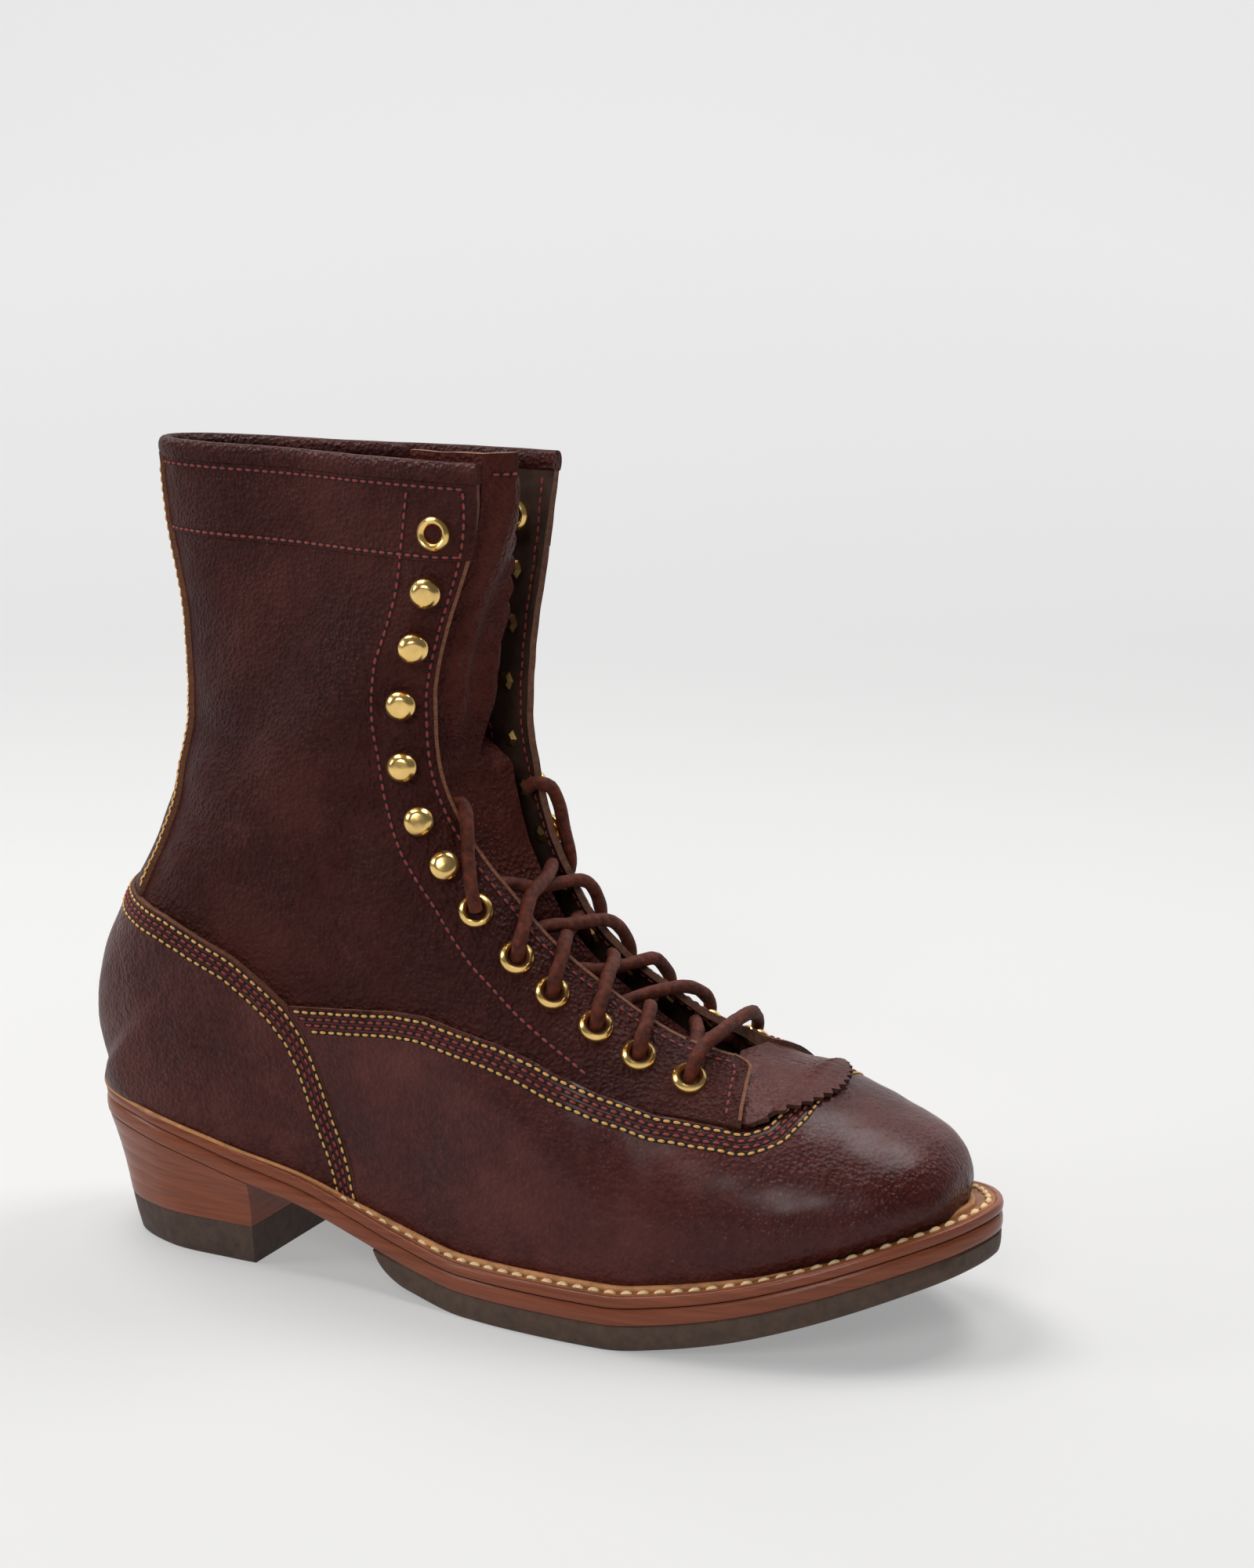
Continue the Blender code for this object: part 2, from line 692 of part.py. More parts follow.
def make_welt():
    """The welt all round, with a low bead beside the upper that fades out along the heel."""
    count = WELT_STATIONS
    outer = sole_outline(count)
    foot = feather_ring(count)
    inward = foot - outer
    width = np.linalg.norm(inward, axis=1)
    fade = np.clip((outer[:, 0] / SOLE_LENGTH - BEAD_START) / (BEAD_WHOLE - BEAD_START), 0, 1)
    low, high = [], []
    for share, lift in WELT_SECTION:
        reach = share + (WALL / width if share == 1.0 else 0.0)
        place = outer + inward * np.reshape(reach * np.ones(count), (-1, 1))
        base = midsole_bottom(place[:, 0]) + MIDSOLE + GAP
        low.append(np.column_stack([place, base]))
        high.append(np.column_stack([place, base + WELT + lift * BEAD * fade]))
    grids = [np.stack(layer, 1).reshape(-1, 3) for layer in (low, high)]
    return shell("welt", grids[0], grids[1], strip_faces(count, len(WELT_SECTION), ring=True), "welt_leather")


def make_insole():
    """The insole inside the upper, on the midsole."""
    inside = WALL + 2.5 * CLEAR
    ring = feather_ring(FINE, inside)
    x = ring_stations(ring, 0.0, SOLE_LENGTH, INSOLE_STATIONS)
    across = np.stack([side_y(ring, x, side) for side in SIDES], 1)
    along = np.repeat(x[:, None], 2, 1)
    base = midsole_bottom(along) + MIDSOLE + GAP
    layers = [np.stack([along, across, base + rise], 2).reshape(-1, 3) for rise in (0.0, INSOLE)]
    return shell("insole", layers[0], layers[1], strip_faces(INSOLE_STATIONS, 2), "lining")


def run_point(run, distance):
    """The point at a distance along a polyline."""
    along = lengths_along(run)
    return np.stack([np.interp(distance, along, column) for column in run.T], -1)


def under_line(line, scale, x, z):
    """Distance from a seam line seen from the side, above zero under it."""
    corners = np.array(line) * (SOLE_LENGTH, scale)
    point = np.stack([x, z], 1)
    nearest = np.full(len(x), np.inf)
    for start, end in zip(corners, corners[1:]):
        run = end - start
        share = np.clip((point - start) @ run / (run @ run), 0, 1)
        nearest = np.minimum(nearest, np.linalg.norm(point - start - share[:, None] * run, axis=1))
    return np.where(z < np.interp(x, *corners.T), nearest, -nearest)


def make_overlays(skin):
    """The vamp, the heel counter and the strip up the back, each a skin of its own on the upper."""
    x, z = skin.points[:, 0], skin.points[:, 2]
    counter = under_line(COUNTER_LINE, SHAFT_TOP, x, z)
    vamp = under_line(VAMP_LINE, INSTEP, x, z)
    height, width = np.array(BACKSTAY_TAPER).T
    strip = smooth(z / SHAFT_TOP, height, width) * BACKSTAY_WIDTH - skin.from_back
    below_binding = skin.from_top - BINDING_DEPTH - CLEAR
    patch(skin, "vamp", GAP, GAP + VAMP, [vamp, -counter - CLEAR], "upper_leather")
    patch(skin, "counter", GAP, GAP + COUNTER, [counter], "upper_leather")
    patch(skin, "backstay", 2 * GAP, 2 * GAP + BACKSTAY, [strip, -counter - CLEAR, below_binding], "upper_leather")


def make_binding(skin):
    """The binding folded over the collar's edge, from one facing round the back to the other."""
    gap = 1.5 * GAP
    outside = (skin.layer(gap), skin.layer(gap + BINDING))
    inside = (skin.layer(-WALL - gap), skin.layer(-WALL - gap - BINDING))
    columns = [(OUTER, j) for j in range(skin.columns)]
    columns += [(INNER, j) for j in range(skin.columns - 2, -1, -1)]
    low, high = [], []
    for side, j in columns:
        column = skin.number[side][::-1, j]
        rise = np.array([0.0, 0.0, 1.0])
        down = [run_point(layer[column], np.array([BINDING_DEPTH, 0.0])) for layer in outside + inside]
        near, far = down[0], down[1]
        near_in, far_in = down[2][::-1], down[3][::-1]
        crown = (near[-1] + near_in[0]) / 2 + rise * gap
        low.append(np.vstack([near, near[-1] + rise * gap, crown, near_in[0] + rise * gap, near_in]))
        high.append(np.vstack([far, far[-1] + rise * (gap + BINDING * 0.6), crown + rise * BINDING * 1.3,
                               far_in[0] + rise * (gap + BINDING * 0.6), far_in]))
    faces = strip_faces(len(columns), low[0].shape[0])
    return shell("collar_binding", np.vstack(low), np.vstack(high), faces, "upper_leather")


def make_tongue(skin):
    """The tongue, wide enough to lie behind both facings, bulging forward between them."""
    depth = WALL + 1.5 * GAP + BINDING + CLEAR
    low, high = [], []
    first = skin.open_from
    for layer, store in ((depth + TONGUE, low), (depth, high)):
        outer = skin.side_layer(OUTER, -layer)
        inner = skin.side_layer(INNER, -layer)
        for i in range(first, skin.rows + 1):
            row = min(i, skin.rows - 1)
            wing = TONGUE_WING * np.linspace(1, 0, TONGUE_CELLS)
            near, far = run_point(outer[row], wing), run_point(inner[row], wing[::-1])
            if i == skin.rows:
                rise = np.array([0.0, 0.0, TONGUE_RISE + BINDING + GAP])
                near, far = near + rise, far + rise
            chord = far[0] - near[-1]
            along = outer[min(row + 1, skin.rows - 1), 0] - outer[max(row - 1, first), 0]
            forward = np.cross(along, [0, 1, 0])
            forward = -forward / np.linalg.norm(forward)
            share = np.linspace(0, 1, 2 * TONGUE_CELLS + 1)[1:-1]
            bulge = TONGUE_BULGE * (row - first) / (skin.rows - first)
            arc = [near[-1] + chord * t + forward * 4 * t * (1 - t) * bulge for t in share]
            store.append(np.vstack([near, arc, far]))
    faces = strip_faces(len(low), low[0].shape[0])
    return shell("tongue", np.vstack(low), np.vstack(high), faces, "upper_leather")


def make_kiltie(skin):
    """The pinked flap in front of the throat, lying on the vamp."""
    x, y = skin.points[:, 0], skin.points[:, 1]
    tip = KILTIE_TIP * SOLE_LENGTH
    half = KILTIE_HALF * BALL_WIDTH
    middle = KILTIE_MIDDLE * BALL_WIDTH
    front = tip - (y - middle) ** 2 / half**2 * (tip - KILTIE_BACK * SOLE_LENGTH) - x
    back = x - KILTIE_BACK * SOLE_LENGTH
    upright = skin.normals[:, 2] - 0.1
    base = 2 * GAP + VAMP
    return patch(skin, "kiltie", base, base + KILTIE, [front, back, upright], "upper_leather")


def facing_spot(skin, side, share, inset, offset):
    """A point on a facing, its outward normal and the direction up the edge."""
    grid = skin.side_layer(side, 0.0)[skin.open_from - 1:]
    normals = skin.normals[skin.number[side]][skin.open_from - 1:]
    edge = lengths_along(grid[:, 0])
    place = np.interp(share * edge[-1], edge, np.arange(len(grid)))
    i = min(int(place), len(grid) - 2)
    t = place - i
    run = grid[i] * (1 - t) + grid[i + 1] * t
    lean = normals[i] * (1 - t) + normals[i + 1] * t
    along = lengths_along(run)
    point = np.array([np.interp(inset, along, column) for column in run.T])
    normal = np.array([np.interp(inset, along, column) for column in lean.T])
    normal /= np.linalg.norm(normal)
    up = grid[i + 1, 0] - grid[i, 0]
    return point + normal * offset, normal, up / np.linalg.norm(up)


def turned_mesh(name, profile, closed, steps):
    """A mesh turned round Z from a profile of radius and height pairs."""
    mesh = bpy.data.meshes.new(name)
    edges = [(k, k + 1) for k in range(len(profile) - 1)]
    if closed:
        edges.append((len(profile) - 1, 0))
    mesh.from_pydata([(r, 0.0, z) for r, z in profile], edges, [])
    thing = bpy.data.objects.new(name, mesh)
    PARTS.objects.link(thing)
    screw = thing.modifiers.new("Turn", "SCREW")
    screw.steps = steps
    screw.render_steps = steps
    screw.use_merge_vertices = True
    screw.merge_threshold = 0.00001
    turned = baked(thing)
    bpy.data.objects.remove(thing)
    work = bmesh.new()
    work.from_mesh(turned)
    bmesh.ops.remove_doubles(work, verts=work.verts, dist=1e-6)
    bmesh.ops.recalc_face_normals(work, faces=work.faces)
    work.to_mesh(turned)
    work.free()
    turned.shade_smooth()
    turned.set_sharp_from_angle(angle=math.radians(40))
    turned.materials.append(MATERIALS["brass"])
    return turned


def baked(thing):
    """The object's mesh as its modifiers leave it."""
    bpy.context.view_layer.update()
    graph = bpy.context.evaluated_depsgraph_get()
    return bpy.data.meshes.new_from_object(thing.evaluated_get(graph), depsgraph=graph)


def make_hardware(skin):
    """The eyelets and the speed hooks, one object each, upright on the facings."""
    rim, bore = EYELET_RIM / 2, EYELET_BORE / 2
    middle = (rim + bore) / 2
    ring = [(bore, 0.0), (bore, EYELET_HEIGHT * 0.7), (middle, EYELET_HEIGHT), (rim, 0.0)]
    eyelet = turned_mesh("eyelet", ring, True, 10)
    hook = turned_mesh("hook", np.array(HOOK_PROFILE) * (HOOK_DOME / 2, HOOK_HEIGHT), False, 9)
    for side, word in ((OUTER, "outer"), (INNER, "inner")):
        places = [("eyelet", k + 1, share, eyelet) for k, share in enumerate(LOW_EYELETS + (TOP_EYELET,))]
        places += [("hook", k + 1, share, hook) for k, share in enumerate(HOOKS)]
        for kind, number, share, mesh in places:
            point, normal, up = facing_spot(skin, side, share, EDGE_TO_HOLE, CLEAR)
            thing = bpy.data.objects.new(f"{kind}_{word}_{number}", mesh)
            across = np.cross(up, normal)
            up = np.cross(normal, across)
            turn = Matrix((across / np.linalg.norm(across), up / np.linalg.norm(up), normal)).transposed()
            thing.matrix_world = Matrix.Translation(Vector(point)) @ turn.to_4x4()
            PARTS.objects.link(thing)


def tube(name, points, diameter, material):
    """A lace along a smooth line through the points, as a curve with filled caps."""
    points = np.array(points)
    along = lengths_along(points)
    count = max(4, int(along[-1] / (diameter * 2.5)) + 1)
    line = smooth(np.linspace(0, along[-1], count), along, points)
    curve = bpy.data.curves.new(name, "CURVE")
    curve.dimensions = "3D"
    curve.bevel_depth = diameter / 2
    curve.bevel_resolution = 2
    curve.use_fill_caps = True
    spline = curve.splines.new("POLY")
    spline.points.add(count - 1)
    for k, place in enumerate(line):
        spline.points[k].co = (*place, 1.0)
    thing = bpy.data.objects.new(name, curve)
    thing.data.materials.append(MATERIALS[material])
    PARTS.objects.link(thing)
    return thing


def meshed(thing):
    """The same piece as a mesh, with its caps welded."""
    name = thing.name
    mesh = baked(thing)
    work = bmesh.new()
    work.from_mesh(mesh)
    bmesh.ops.remove_doubles(work, verts=work.verts, dist=1e-6)
    bmesh.ops.recalc_face_normals(work, faces=work.faces)
    work.to_mesh(mesh)
    work.free()
    solid = bpy.data.objects.new(name + "_solid", mesh)
    solid.matrix_world = thing.matrix_world
    bpy.data.objects.remove(thing)
    solid.name = name
    PARTS.objects.link(solid)
    return solid


def lace_bar(skin, side, low, high):
    """A crossing from one side's hole to the other side's next hole, over both facings' edges."""
    above = CLEAR + EYELET_HEIGHT + 4 * GAP + LACE / 2
    over_edge = 3 * CLEAR + LACE / 2
    start = facing_spot(skin, side, low, EDGE_TO_HOLE, above)[0]
    end = facing_spot(skin, -side, high, EDGE_TO_HOLE, above)[0]
    quarter = low + (high - low) * 0.25
    rest = low + (high - low) * 0.75
    near = facing_spot(skin, side, quarter, 0.0, over_edge)[0]
    far = facing_spot(skin, -side, rest, 0.0, over_edge)[0]
    middle = (near + far) / 2
    return [start, near, middle, far, end]


def make_laces(skin):
    """The criss-cross of the laces over the lower eyelets, one solid, and the two ends that leave the top pair."""
    holes = LOW_EYELETS
    first, second = [], []
    for k in range(len(holes) - 1):
        side = OUTER if k % 2 == 0 else INNER
        first += lace_bar(skin, side, holes[k], holes[k + 1])[0 if k == 0 else 1:]
        second += lace_bar(skin, -side, holes[k], holes[k + 1])[0 if k == 0 else 1:]
    bottom = lace_bar(skin, INNER, holes[0], holes[0])
    first = bottom[:-1] + first
    laces = meshed(tube("laces", first, LACE, "lace"))
    other = meshed(tube("second_lace", second, LACE, "lace"))
    PARTS.objects.unlink(other)
    CUTTERS.objects.link(other)
    other.hide_render = True
    other.display_type = "WIRE"
    join = laces.modifiers.new("Join", "BOOLEAN")
    join.operation = "UNION"
    join.object = other
    above = CLEAR + LACE / 2
    for side, word in ((OUTER, "outer"), (INNER, "inner")):
        route = [facing_spot(skin, side, share, EDGE_TO_HOLE * inset, above)[0] for share, inset in LACE_END]
        inward = np.array([LACE * 0.5, -side * LACE * 1.3, LACE * 0.5])
        route.append(route[-1] + inward)
        tube(f"lace_end_{word}", route, LACE, "lace")


def make_materials():
    """A plain material for each kind of surface: colour, roughness, metallic."""
    looks = {
        "upper_leather": ((0.060, 0.018, 0.016), 0.42, 0.0),
        "edge_leather": ((0.110, 0.036, 0.018), 0.50, 0.0),
        "welt_leather": ((0.190, 0.080, 0.028), 0.50, 0.0),
        "lining": ((0.030, 0.015, 0.012), 0.80, 0.0),
        "rubber": ((0.055, 0.045, 0.036), 0.75, 0.0),
        "brass": ((0.800, 0.560, 0.200), 0.25, 1.0),
        "lace": ((0.090, 0.022, 0.010), 0.85, 0.0),
    }
    made = {}
    for name, (colour, roughness, metallic) in looks.items():
        material = bpy.data.materials.new(name)
        material.use_nodes = True
        shader = material.node_tree.nodes["Principled BSDF"]
        shader.inputs["Base Color"].default_value = (*colour, 1.0)
        shader.inputs["Roughness"].default_value = roughness
        shader.inputs["Metallic"].default_value = metallic
        material.diffuse_color = (*colour, 1.0)
        made[name] = material
    return made


def centre_on_ground():
    """Move everything so that the middle of the whole box is over the origin."""
    bpy.context.view_layer.update()
    graph = bpy.context.evaluated_depsgraph_get()
    low = np.full(3, np.inf)
    high = -low
    for thing in PARTS.objects:
        if thing.name.startswith("lace_end"):
            continue
        mesh = thing.evaluated_get(graph).to_mesh()
        points = np.array([thing.matrix_world @ v.co for v in mesh.vertices])
        low = np.minimum(low, points.min(0))
        high = np.maximum(high, points.max(0))
        thing.evaluated_get(graph).to_mesh_clear()
    move = Matrix.Translation((-(low[0] + high[0]) / 2, -(low[1] + high[1]) / 2, -low[2]))
    for thing in list(PARTS.objects) + list(CUTTERS.objects):
        thing.matrix_world = move @ thing.matrix_world


def collection(name):
    """A new collection in the scene."""
    made = bpy.data.collections.new(name)
    bpy.context.scene.collection.children.link(made)
    return made


for old in list(bpy.data.objects):
    bpy.data.objects.remove(old)
PARTS = collection(NAME)
CUTTERS = collection("cutters")
MATERIALS = make_materials()
SKIN = Skin()
make_outsole()
make_midsole()
make_heel()
make_welt()
make_insole()
patch(SKIN, "upper", -WALL, 0.0, [], "upper_leather")
make_overlays(SKIN)
make_binding(SKIN)
make_tongue(SKIN)
make_kiltie(SKIN)
make_hardware(SKIN)
make_laces(SKIN)
centre_on_ground()
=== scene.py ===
"""Looks of the logger boot: fine surfaces, seams, lacing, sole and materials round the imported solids.

Shapes are worked out in the boot's own frame, with zero at the back end of the sole on the ground, and are
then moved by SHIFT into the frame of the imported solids. Lengths are in metres.
"""

import math

import bpy
import numpy as np
from mathutils import Matrix, Vector
from mathutils.bvhtree import BVHTree


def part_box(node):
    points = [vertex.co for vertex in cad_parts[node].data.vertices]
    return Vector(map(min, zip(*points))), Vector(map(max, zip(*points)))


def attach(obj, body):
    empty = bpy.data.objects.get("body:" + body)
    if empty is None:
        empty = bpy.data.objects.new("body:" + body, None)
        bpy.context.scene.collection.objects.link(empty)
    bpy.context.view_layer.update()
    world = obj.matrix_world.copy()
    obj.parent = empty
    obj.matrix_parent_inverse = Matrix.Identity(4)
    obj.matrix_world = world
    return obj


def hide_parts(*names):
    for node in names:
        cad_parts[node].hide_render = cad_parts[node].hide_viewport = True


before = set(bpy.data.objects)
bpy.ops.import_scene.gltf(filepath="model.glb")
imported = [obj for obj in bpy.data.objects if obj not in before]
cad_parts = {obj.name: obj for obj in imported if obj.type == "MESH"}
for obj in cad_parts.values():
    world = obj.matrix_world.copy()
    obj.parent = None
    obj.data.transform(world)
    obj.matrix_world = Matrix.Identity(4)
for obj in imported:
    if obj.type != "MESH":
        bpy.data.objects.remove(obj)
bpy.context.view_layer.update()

OUTER = -1
INNER = 1
SIDES = (OUTER, INNER)

# Sizes shared with the solids
SOLE_LENGTH = 0.295
BALL_WIDTH = 0.104
RUBBER = 0.0075
MIDSOLE = 0.005
WELT = 0.0035
HEEL_RISE = 0.0315
TOE_SPRING = 0.0245
FLAT_TO = 0.66
RUBBER_START = 0.115
RUBBER_END_ROUND = 0.012
TOE_RUBBER = 0.0064
HEEL_LENGTH = 0.069
HEEL_LIFT = 0.012
HEEL_TAPER = 0.0035
HEEL_PITCH = 0.008
HEEL_STEP_IN = 0.0006
INSTEP = 0.091
SHAFT_TOP = 0.246
WALL = 0.002
VAMP = 0.0014
COUNTER = 0.0018
BACKSTAY = 0.0012
BACKSTAY_WIDTH = 0.022
GAP = 0.0003
CLEAR = 0.0006
EYELET_RIM = 0.0105
EYELET_BORE = 0.0052
EYELET_HEIGHT = 0.0013
HOOK_DOME = 0.009
HOOK_HEIGHT = 0.0058
EDGE_TO_HOLE = 0.0145
LACE = 0.0042

# Fine grid of the upper: cells from the front edge to the widest place, cells on to the foot, and sections
FRONT_CELLS = 34
BACK_CELLS = 28
SECTIONS = 170

# Stitches: pitch along a seam, length and width of the thread that shows
PITCH = 0.0029
THREAD = (0.0021, 0.00085)
WELT_PITCH = 0.0050
WELT_THREAD = (0.0036, 0.0017)

# Sole outline from the toe's tip along the outer side and back: share of the length, share of the ball width
OUTLINE = (
    (1.0, 0.030), (0.982, -0.125), (0.933, -0.275), (0.860, -0.388), (0.767, -0.463), (0.660, -0.500),
    (0.550, -0.478), (0.433, -0.410), (0.317, -0.362), (0.200, -0.350), (0.100, -0.315), (0.030, -0.205),
    (0.0, 0.0), (0.030, 0.205), (0.100, 0.312), (0.200, 0.322), (0.317, 0.290), (0.433, 0.275),
    (0.550, 0.340), (0.660, 0.440), (0.760, 0.487), (0.853, 0.448), (0.927, 0.345), (0.979, 0.190),
)

# Bottom of the midsole: share of the length, share of the heel rise, share of the toe spring
PROFILE = (
    (0.0, 1.0, 0.0), (0.10, 0.89, 0.0), (0.225, 0.63, 0.0), (0.30, 0.47, 0.0), (0.37, 0.27, 0.0),
    (0.43, 0.11, 0.0), (0.50, 0.0, 0.0), (0.58, 0.0, 0.0), (0.66, 0.0, 0.0), (0.72, 0.0, 0.085),
    (0.78, 0.0, 0.22), (0.86, 0.0, 0.49), (0.93, 0.0, 0.76), (1.0, 0.0, 1.0),
)

# Margin between the outline and the upper's foot: share of the length, share of the ball width
MARGIN = (
    (0.0, 0.029), (0.15, 0.034), (0.30, 0.055), (0.45, 0.072), (0.62, 0.084), (0.80, 0.090), (1.0, 0.115),
)

# Sections of the foot. Columns: where it stands (share of the length), front edge or ridge outer and inner
# (shares of the length), its height over the welt (share of the instep), ridge off the middle, half gap outer
# and inner, half width outer and inner (shares of the ball width), widest place
FOOT = (
    (0.958, 0.962, 0.962, 0.075, 0.030, 0.000, 0.000, 0.000, 0.000, 0.60),
    (0.954, 0.956, 0.956, 0.135, 0.032, 0.000, 0.000, 0.130, 0.115, 0.62),
    (0.94, 0.94, 0.94, 0.205, 0.035, 0.000, 0.000, 0.200, 0.190, 0.64),
    (0.916, 0.914, 0.914, 0.270, 0.040, 0.000, 0.000, 0.265, 0.270, 0.66),
    (0.884, 0.881, 0.881, 0.340, 0.045, 0.000, 0.000, 0.320, 0.335, 0.68),
    (0.843, 0.842, 0.842, 0.425, 0.050, 0.000, 0.000, 0.365, 0.390, 0.70),
    (0.806, 0.806, 0.806, 0.505, 0.055, 0.000, 0.000, 0.392, 0.415, 0.71),
    (0.7626, 0.7656, 0.7676, 0.570, 0.055, 0.060, 0.055, 0.408, 0.424, 0.72),
    (0.7191, 0.7232, 0.7252, 0.640, 0.050, 0.110, 0.100, 0.420, 0.418, 0.74),
    (0.6747, 0.6787, 0.6787, 0.715, 0.045, 0.122, 0.115, 0.428, 0.402, 0.74),
    (0.6312, 0.6333, 0.6333, 0.795, 0.040, 0.128, 0.125, 0.426, 0.380, 0.74),
    (0.5868, 0.5888, 0.5858, 0.895, 0.030, 0.135, 0.135, 0.415, 0.350, 0.72),
    (0.5424, 0.5484, 0.5504, 1.000, 0.020, 0.144, 0.144, 0.400, 0.325, 0.70),
)

# Sections of the leg. Columns: foot or back (share of the length), height of the back (share of the rise from
# the seat to the collar, None on the welt), front edge outer and inner (shares of the length), its height
# (share of the rise from the instep to the collar), half gap, splay, half width outer and inner, pinch
# (shares of the ball width)
LEG = (
    (0.495, None, 0.513, 0.525, 0.085, 0.150, 0.004, 0.375, 0.315, 0.0),
    (0.439, None, 0.482, 0.505, 0.163, 0.158, 0.007, 0.350, 0.315, 0.0),
    (0.379, None, 0.461, 0.493, 0.236, 0.166, 0.010, 0.335, 0.318, 0.0),
    (0.311, None, 0.448, 0.485, 0.297, 0.172, 0.012, 0.330, 0.322, 0.0),
    (0.238, None, 0.441, 0.480, 0.351, 0.176, 0.014, 0.330, 0.326, 0.0),
    (0.166, None, 0.438, 0.476, 0.398, 0.178, 0.015, 0.332, 0.328, 0.0),
    (0.105, None, 0.437, 0.475, 0.438, 0.178, 0.016, 0.334, 0.328, 0.0),
    (0.059, None, 0.437, 0.475, 0.470, 0.178, 0.016, 0.334, 0.327, 0.0),
    (0.027, None, 0.437, 0.475, 0.498, 0.178, 0.017, 0.333, 0.326, 0.0),
    (0.010, None, 0.437, 0.475, 0.523, 0.178, 0.017, 0.332, 0.325, 0.0),
    (0.003, 0.045, 0.439, 0.476, 0.552, 0.178, 0.018, 0.330, 0.323, 0.0),
    (-0.001, 0.095, 0.442, 0.477, 0.582, 0.178, 0.020, 0.326, 0.320, 0.0),
    (0.003, 0.150, 0.446, 0.479, 0.614, 0.176, 0.023, 0.320, 0.315, 0.0),
    (0.015, 0.206, 0.451, 0.481, 0.647, 0.175, 0.027, 0.312, 0.308, 0.0),
    (0.034, 0.266, 0.457, 0.483, 0.683, 0.173, 0.032, 0.302, 0.300, 0.002),
    (0.059, 0.332, 0.464, 0.485, 0.719, 0.170, 0.039, 0.290, 0.290, 0.005),
    (0.082, 0.402, 0.471, 0.487, 0.755, 0.167, 0.048, 0.276, 0.280, 0.010),
    (0.102, 0.482, 0.479, 0.489, 0.795, 0.163, 0.058, 0.262, 0.270, 0.016),
    (0.114, 0.563, 0.486, 0.491, 0.835, 0.159, 0.070, 0.248, 0.258, 0.023),
    (0.118, 0.643, 0.491, 0.492, 0.874, 0.155, 0.082, 0.235, 0.248, 0.030),
    (0.115, 0.733, 0.494, 0.493, 0.912, 0.151, 0.094, 0.223, 0.238, 0.036),
    (0.103, 0.829, 0.495, 0.494, 0.946, 0.147, 0.105, 0.212, 0.230, 0.041),
    (0.092, 0.925, 0.496, 0.495, 0.976, 0.143, 0.115, 0.202, 0.223, 0.045),
    (0.087, 1.018, 0.496, 0.495, 1.0, 0.140, 0.122, 0.195, 0.218, 0.048),
)
LEG_WIDEST = 0.55
BACK_POWER = 2.5
RIDGE_FADE = 1.5
SPLAY_FADE = 2.5
PINCH_AT = 0.58
PINCH_SPAN = 0.2
EASE_ROWS = 5

# Seams seen from the side: share of the length, share of the shaft's height or of the instep
COUNTER_LINE = (
    (-0.05, 0.470), (0.070, 0.457), (0.139, 0.437), (0.176, 0.419), (0.222, 0.398), (0.261, 0.367),
    (0.286, 0.343), (0.307, 0.312), (0.323, 0.274), (0.338, 0.220), (0.353, 0.174), (0.362, 0.140),
    (0.375, 0.050), (0.400, -0.400), (1.000, -1.000),
)
VAMP_LINE = (
    (0.200, 0.908), (0.326, 0.933), (0.410, 0.952), (0.447, 0.946), (0.485, 0.916), (0.526, 0.889),
    (0.563, 0.846), (0.600, 0.797), (0.637, 0.754), (0.690, 0.708), (0.730, 0.689), (0.775, 0.668),
    (0.793, 0.681), (0.803, 0.730), (0.812, 0.865), (0.850, 2.163),
)
BACKSTAY_TAPER = (
    (0.40, 2.10), (0.44, 1.95), (0.49, 1.65), (0.53, 1.38), (0.57, 1.12), (0.62, 0.78), (0.70, 0.55),
    (0.82, 0.40), (1.00, 0.34),
)

# Holes up each facing, as shares of the facing's edge from the throat to the collar
LOW_EYELETS = (0.132, 0.202, 0.267, 0.337, 0.401, 0.479)
HOOKS = (0.545, 0.603, 0.664, 0.737, 0.811, 0.879)
TOP_EYELET = 0.941

# Inner row of stitches of the facing: share of the edge, distance from the edge
FACING_ROW = (
    (0.00, 0.0225), (0.08, 0.0240), (0.13, 0.0262), (0.21, 0.0300), (0.28, 0.0288), (0.36, 0.0278),
    (0.46, 0.0285), (0.54, 0.0256), (0.60, 0.0252), (0.64, 0.0240), (0.70, 0.0242), (0.76, 0.0275),
    (0.83, 0.0310), (0.89, 0.0278), (0.93, 0.0264), (1.00, 0.0215),
)

# Heights of the parts sewn on, over the upper's wall
VAMP_TOP = VAMP + 0.0005
COUNTER_TOP = COUNTER + 0.0004
BACKSTAY_TOP = BACKSTAY + 0.0003
BAND_TOP = 0.0005

# Materials of the upper's thread, by number; the groove is painted shade, the edge partly a painted highlight
LIGHT, RED, GROOVE_SHADE, EDGE_AND_HIGHLIGHT = range(4)

# Rows of thread below a raw edge: distance from it and kind of thread
SEAM_ROWS = ((0.0014, LIGHT), (0.0034, RED), (0.0052, RED), (0.0072, LIGHT))
BACKSTAY_ROWS = (0.0013, 0.0034)
EDGE_ROW = 0.0042
BAND_SEAM = 0.0265
COLLAR_ROW = 0.0066

# Front of the facings: how high they stand off the vamp and up to which share of the edge, how wide they are,
# and where they end, which is further forward away from the edge
FLAP_BASE = 0.0004
FLAP_RISE = 0.0032
FLAP_FADE = 0.16
FLAP_REACH = 0.030
FLAP_END = 0.2215
FLAP_SLOPE = 0.20

# Camera in the boot's own frame
CAMERA_PLACE = (0.51383, -0.73152, 0.31048)
CAMERA_AZIMUTH = 24.51
CAMERA_ELEVATION = 11.08
CAMERA_ROLL = -0.17
CAMERA_LENS = 64.6


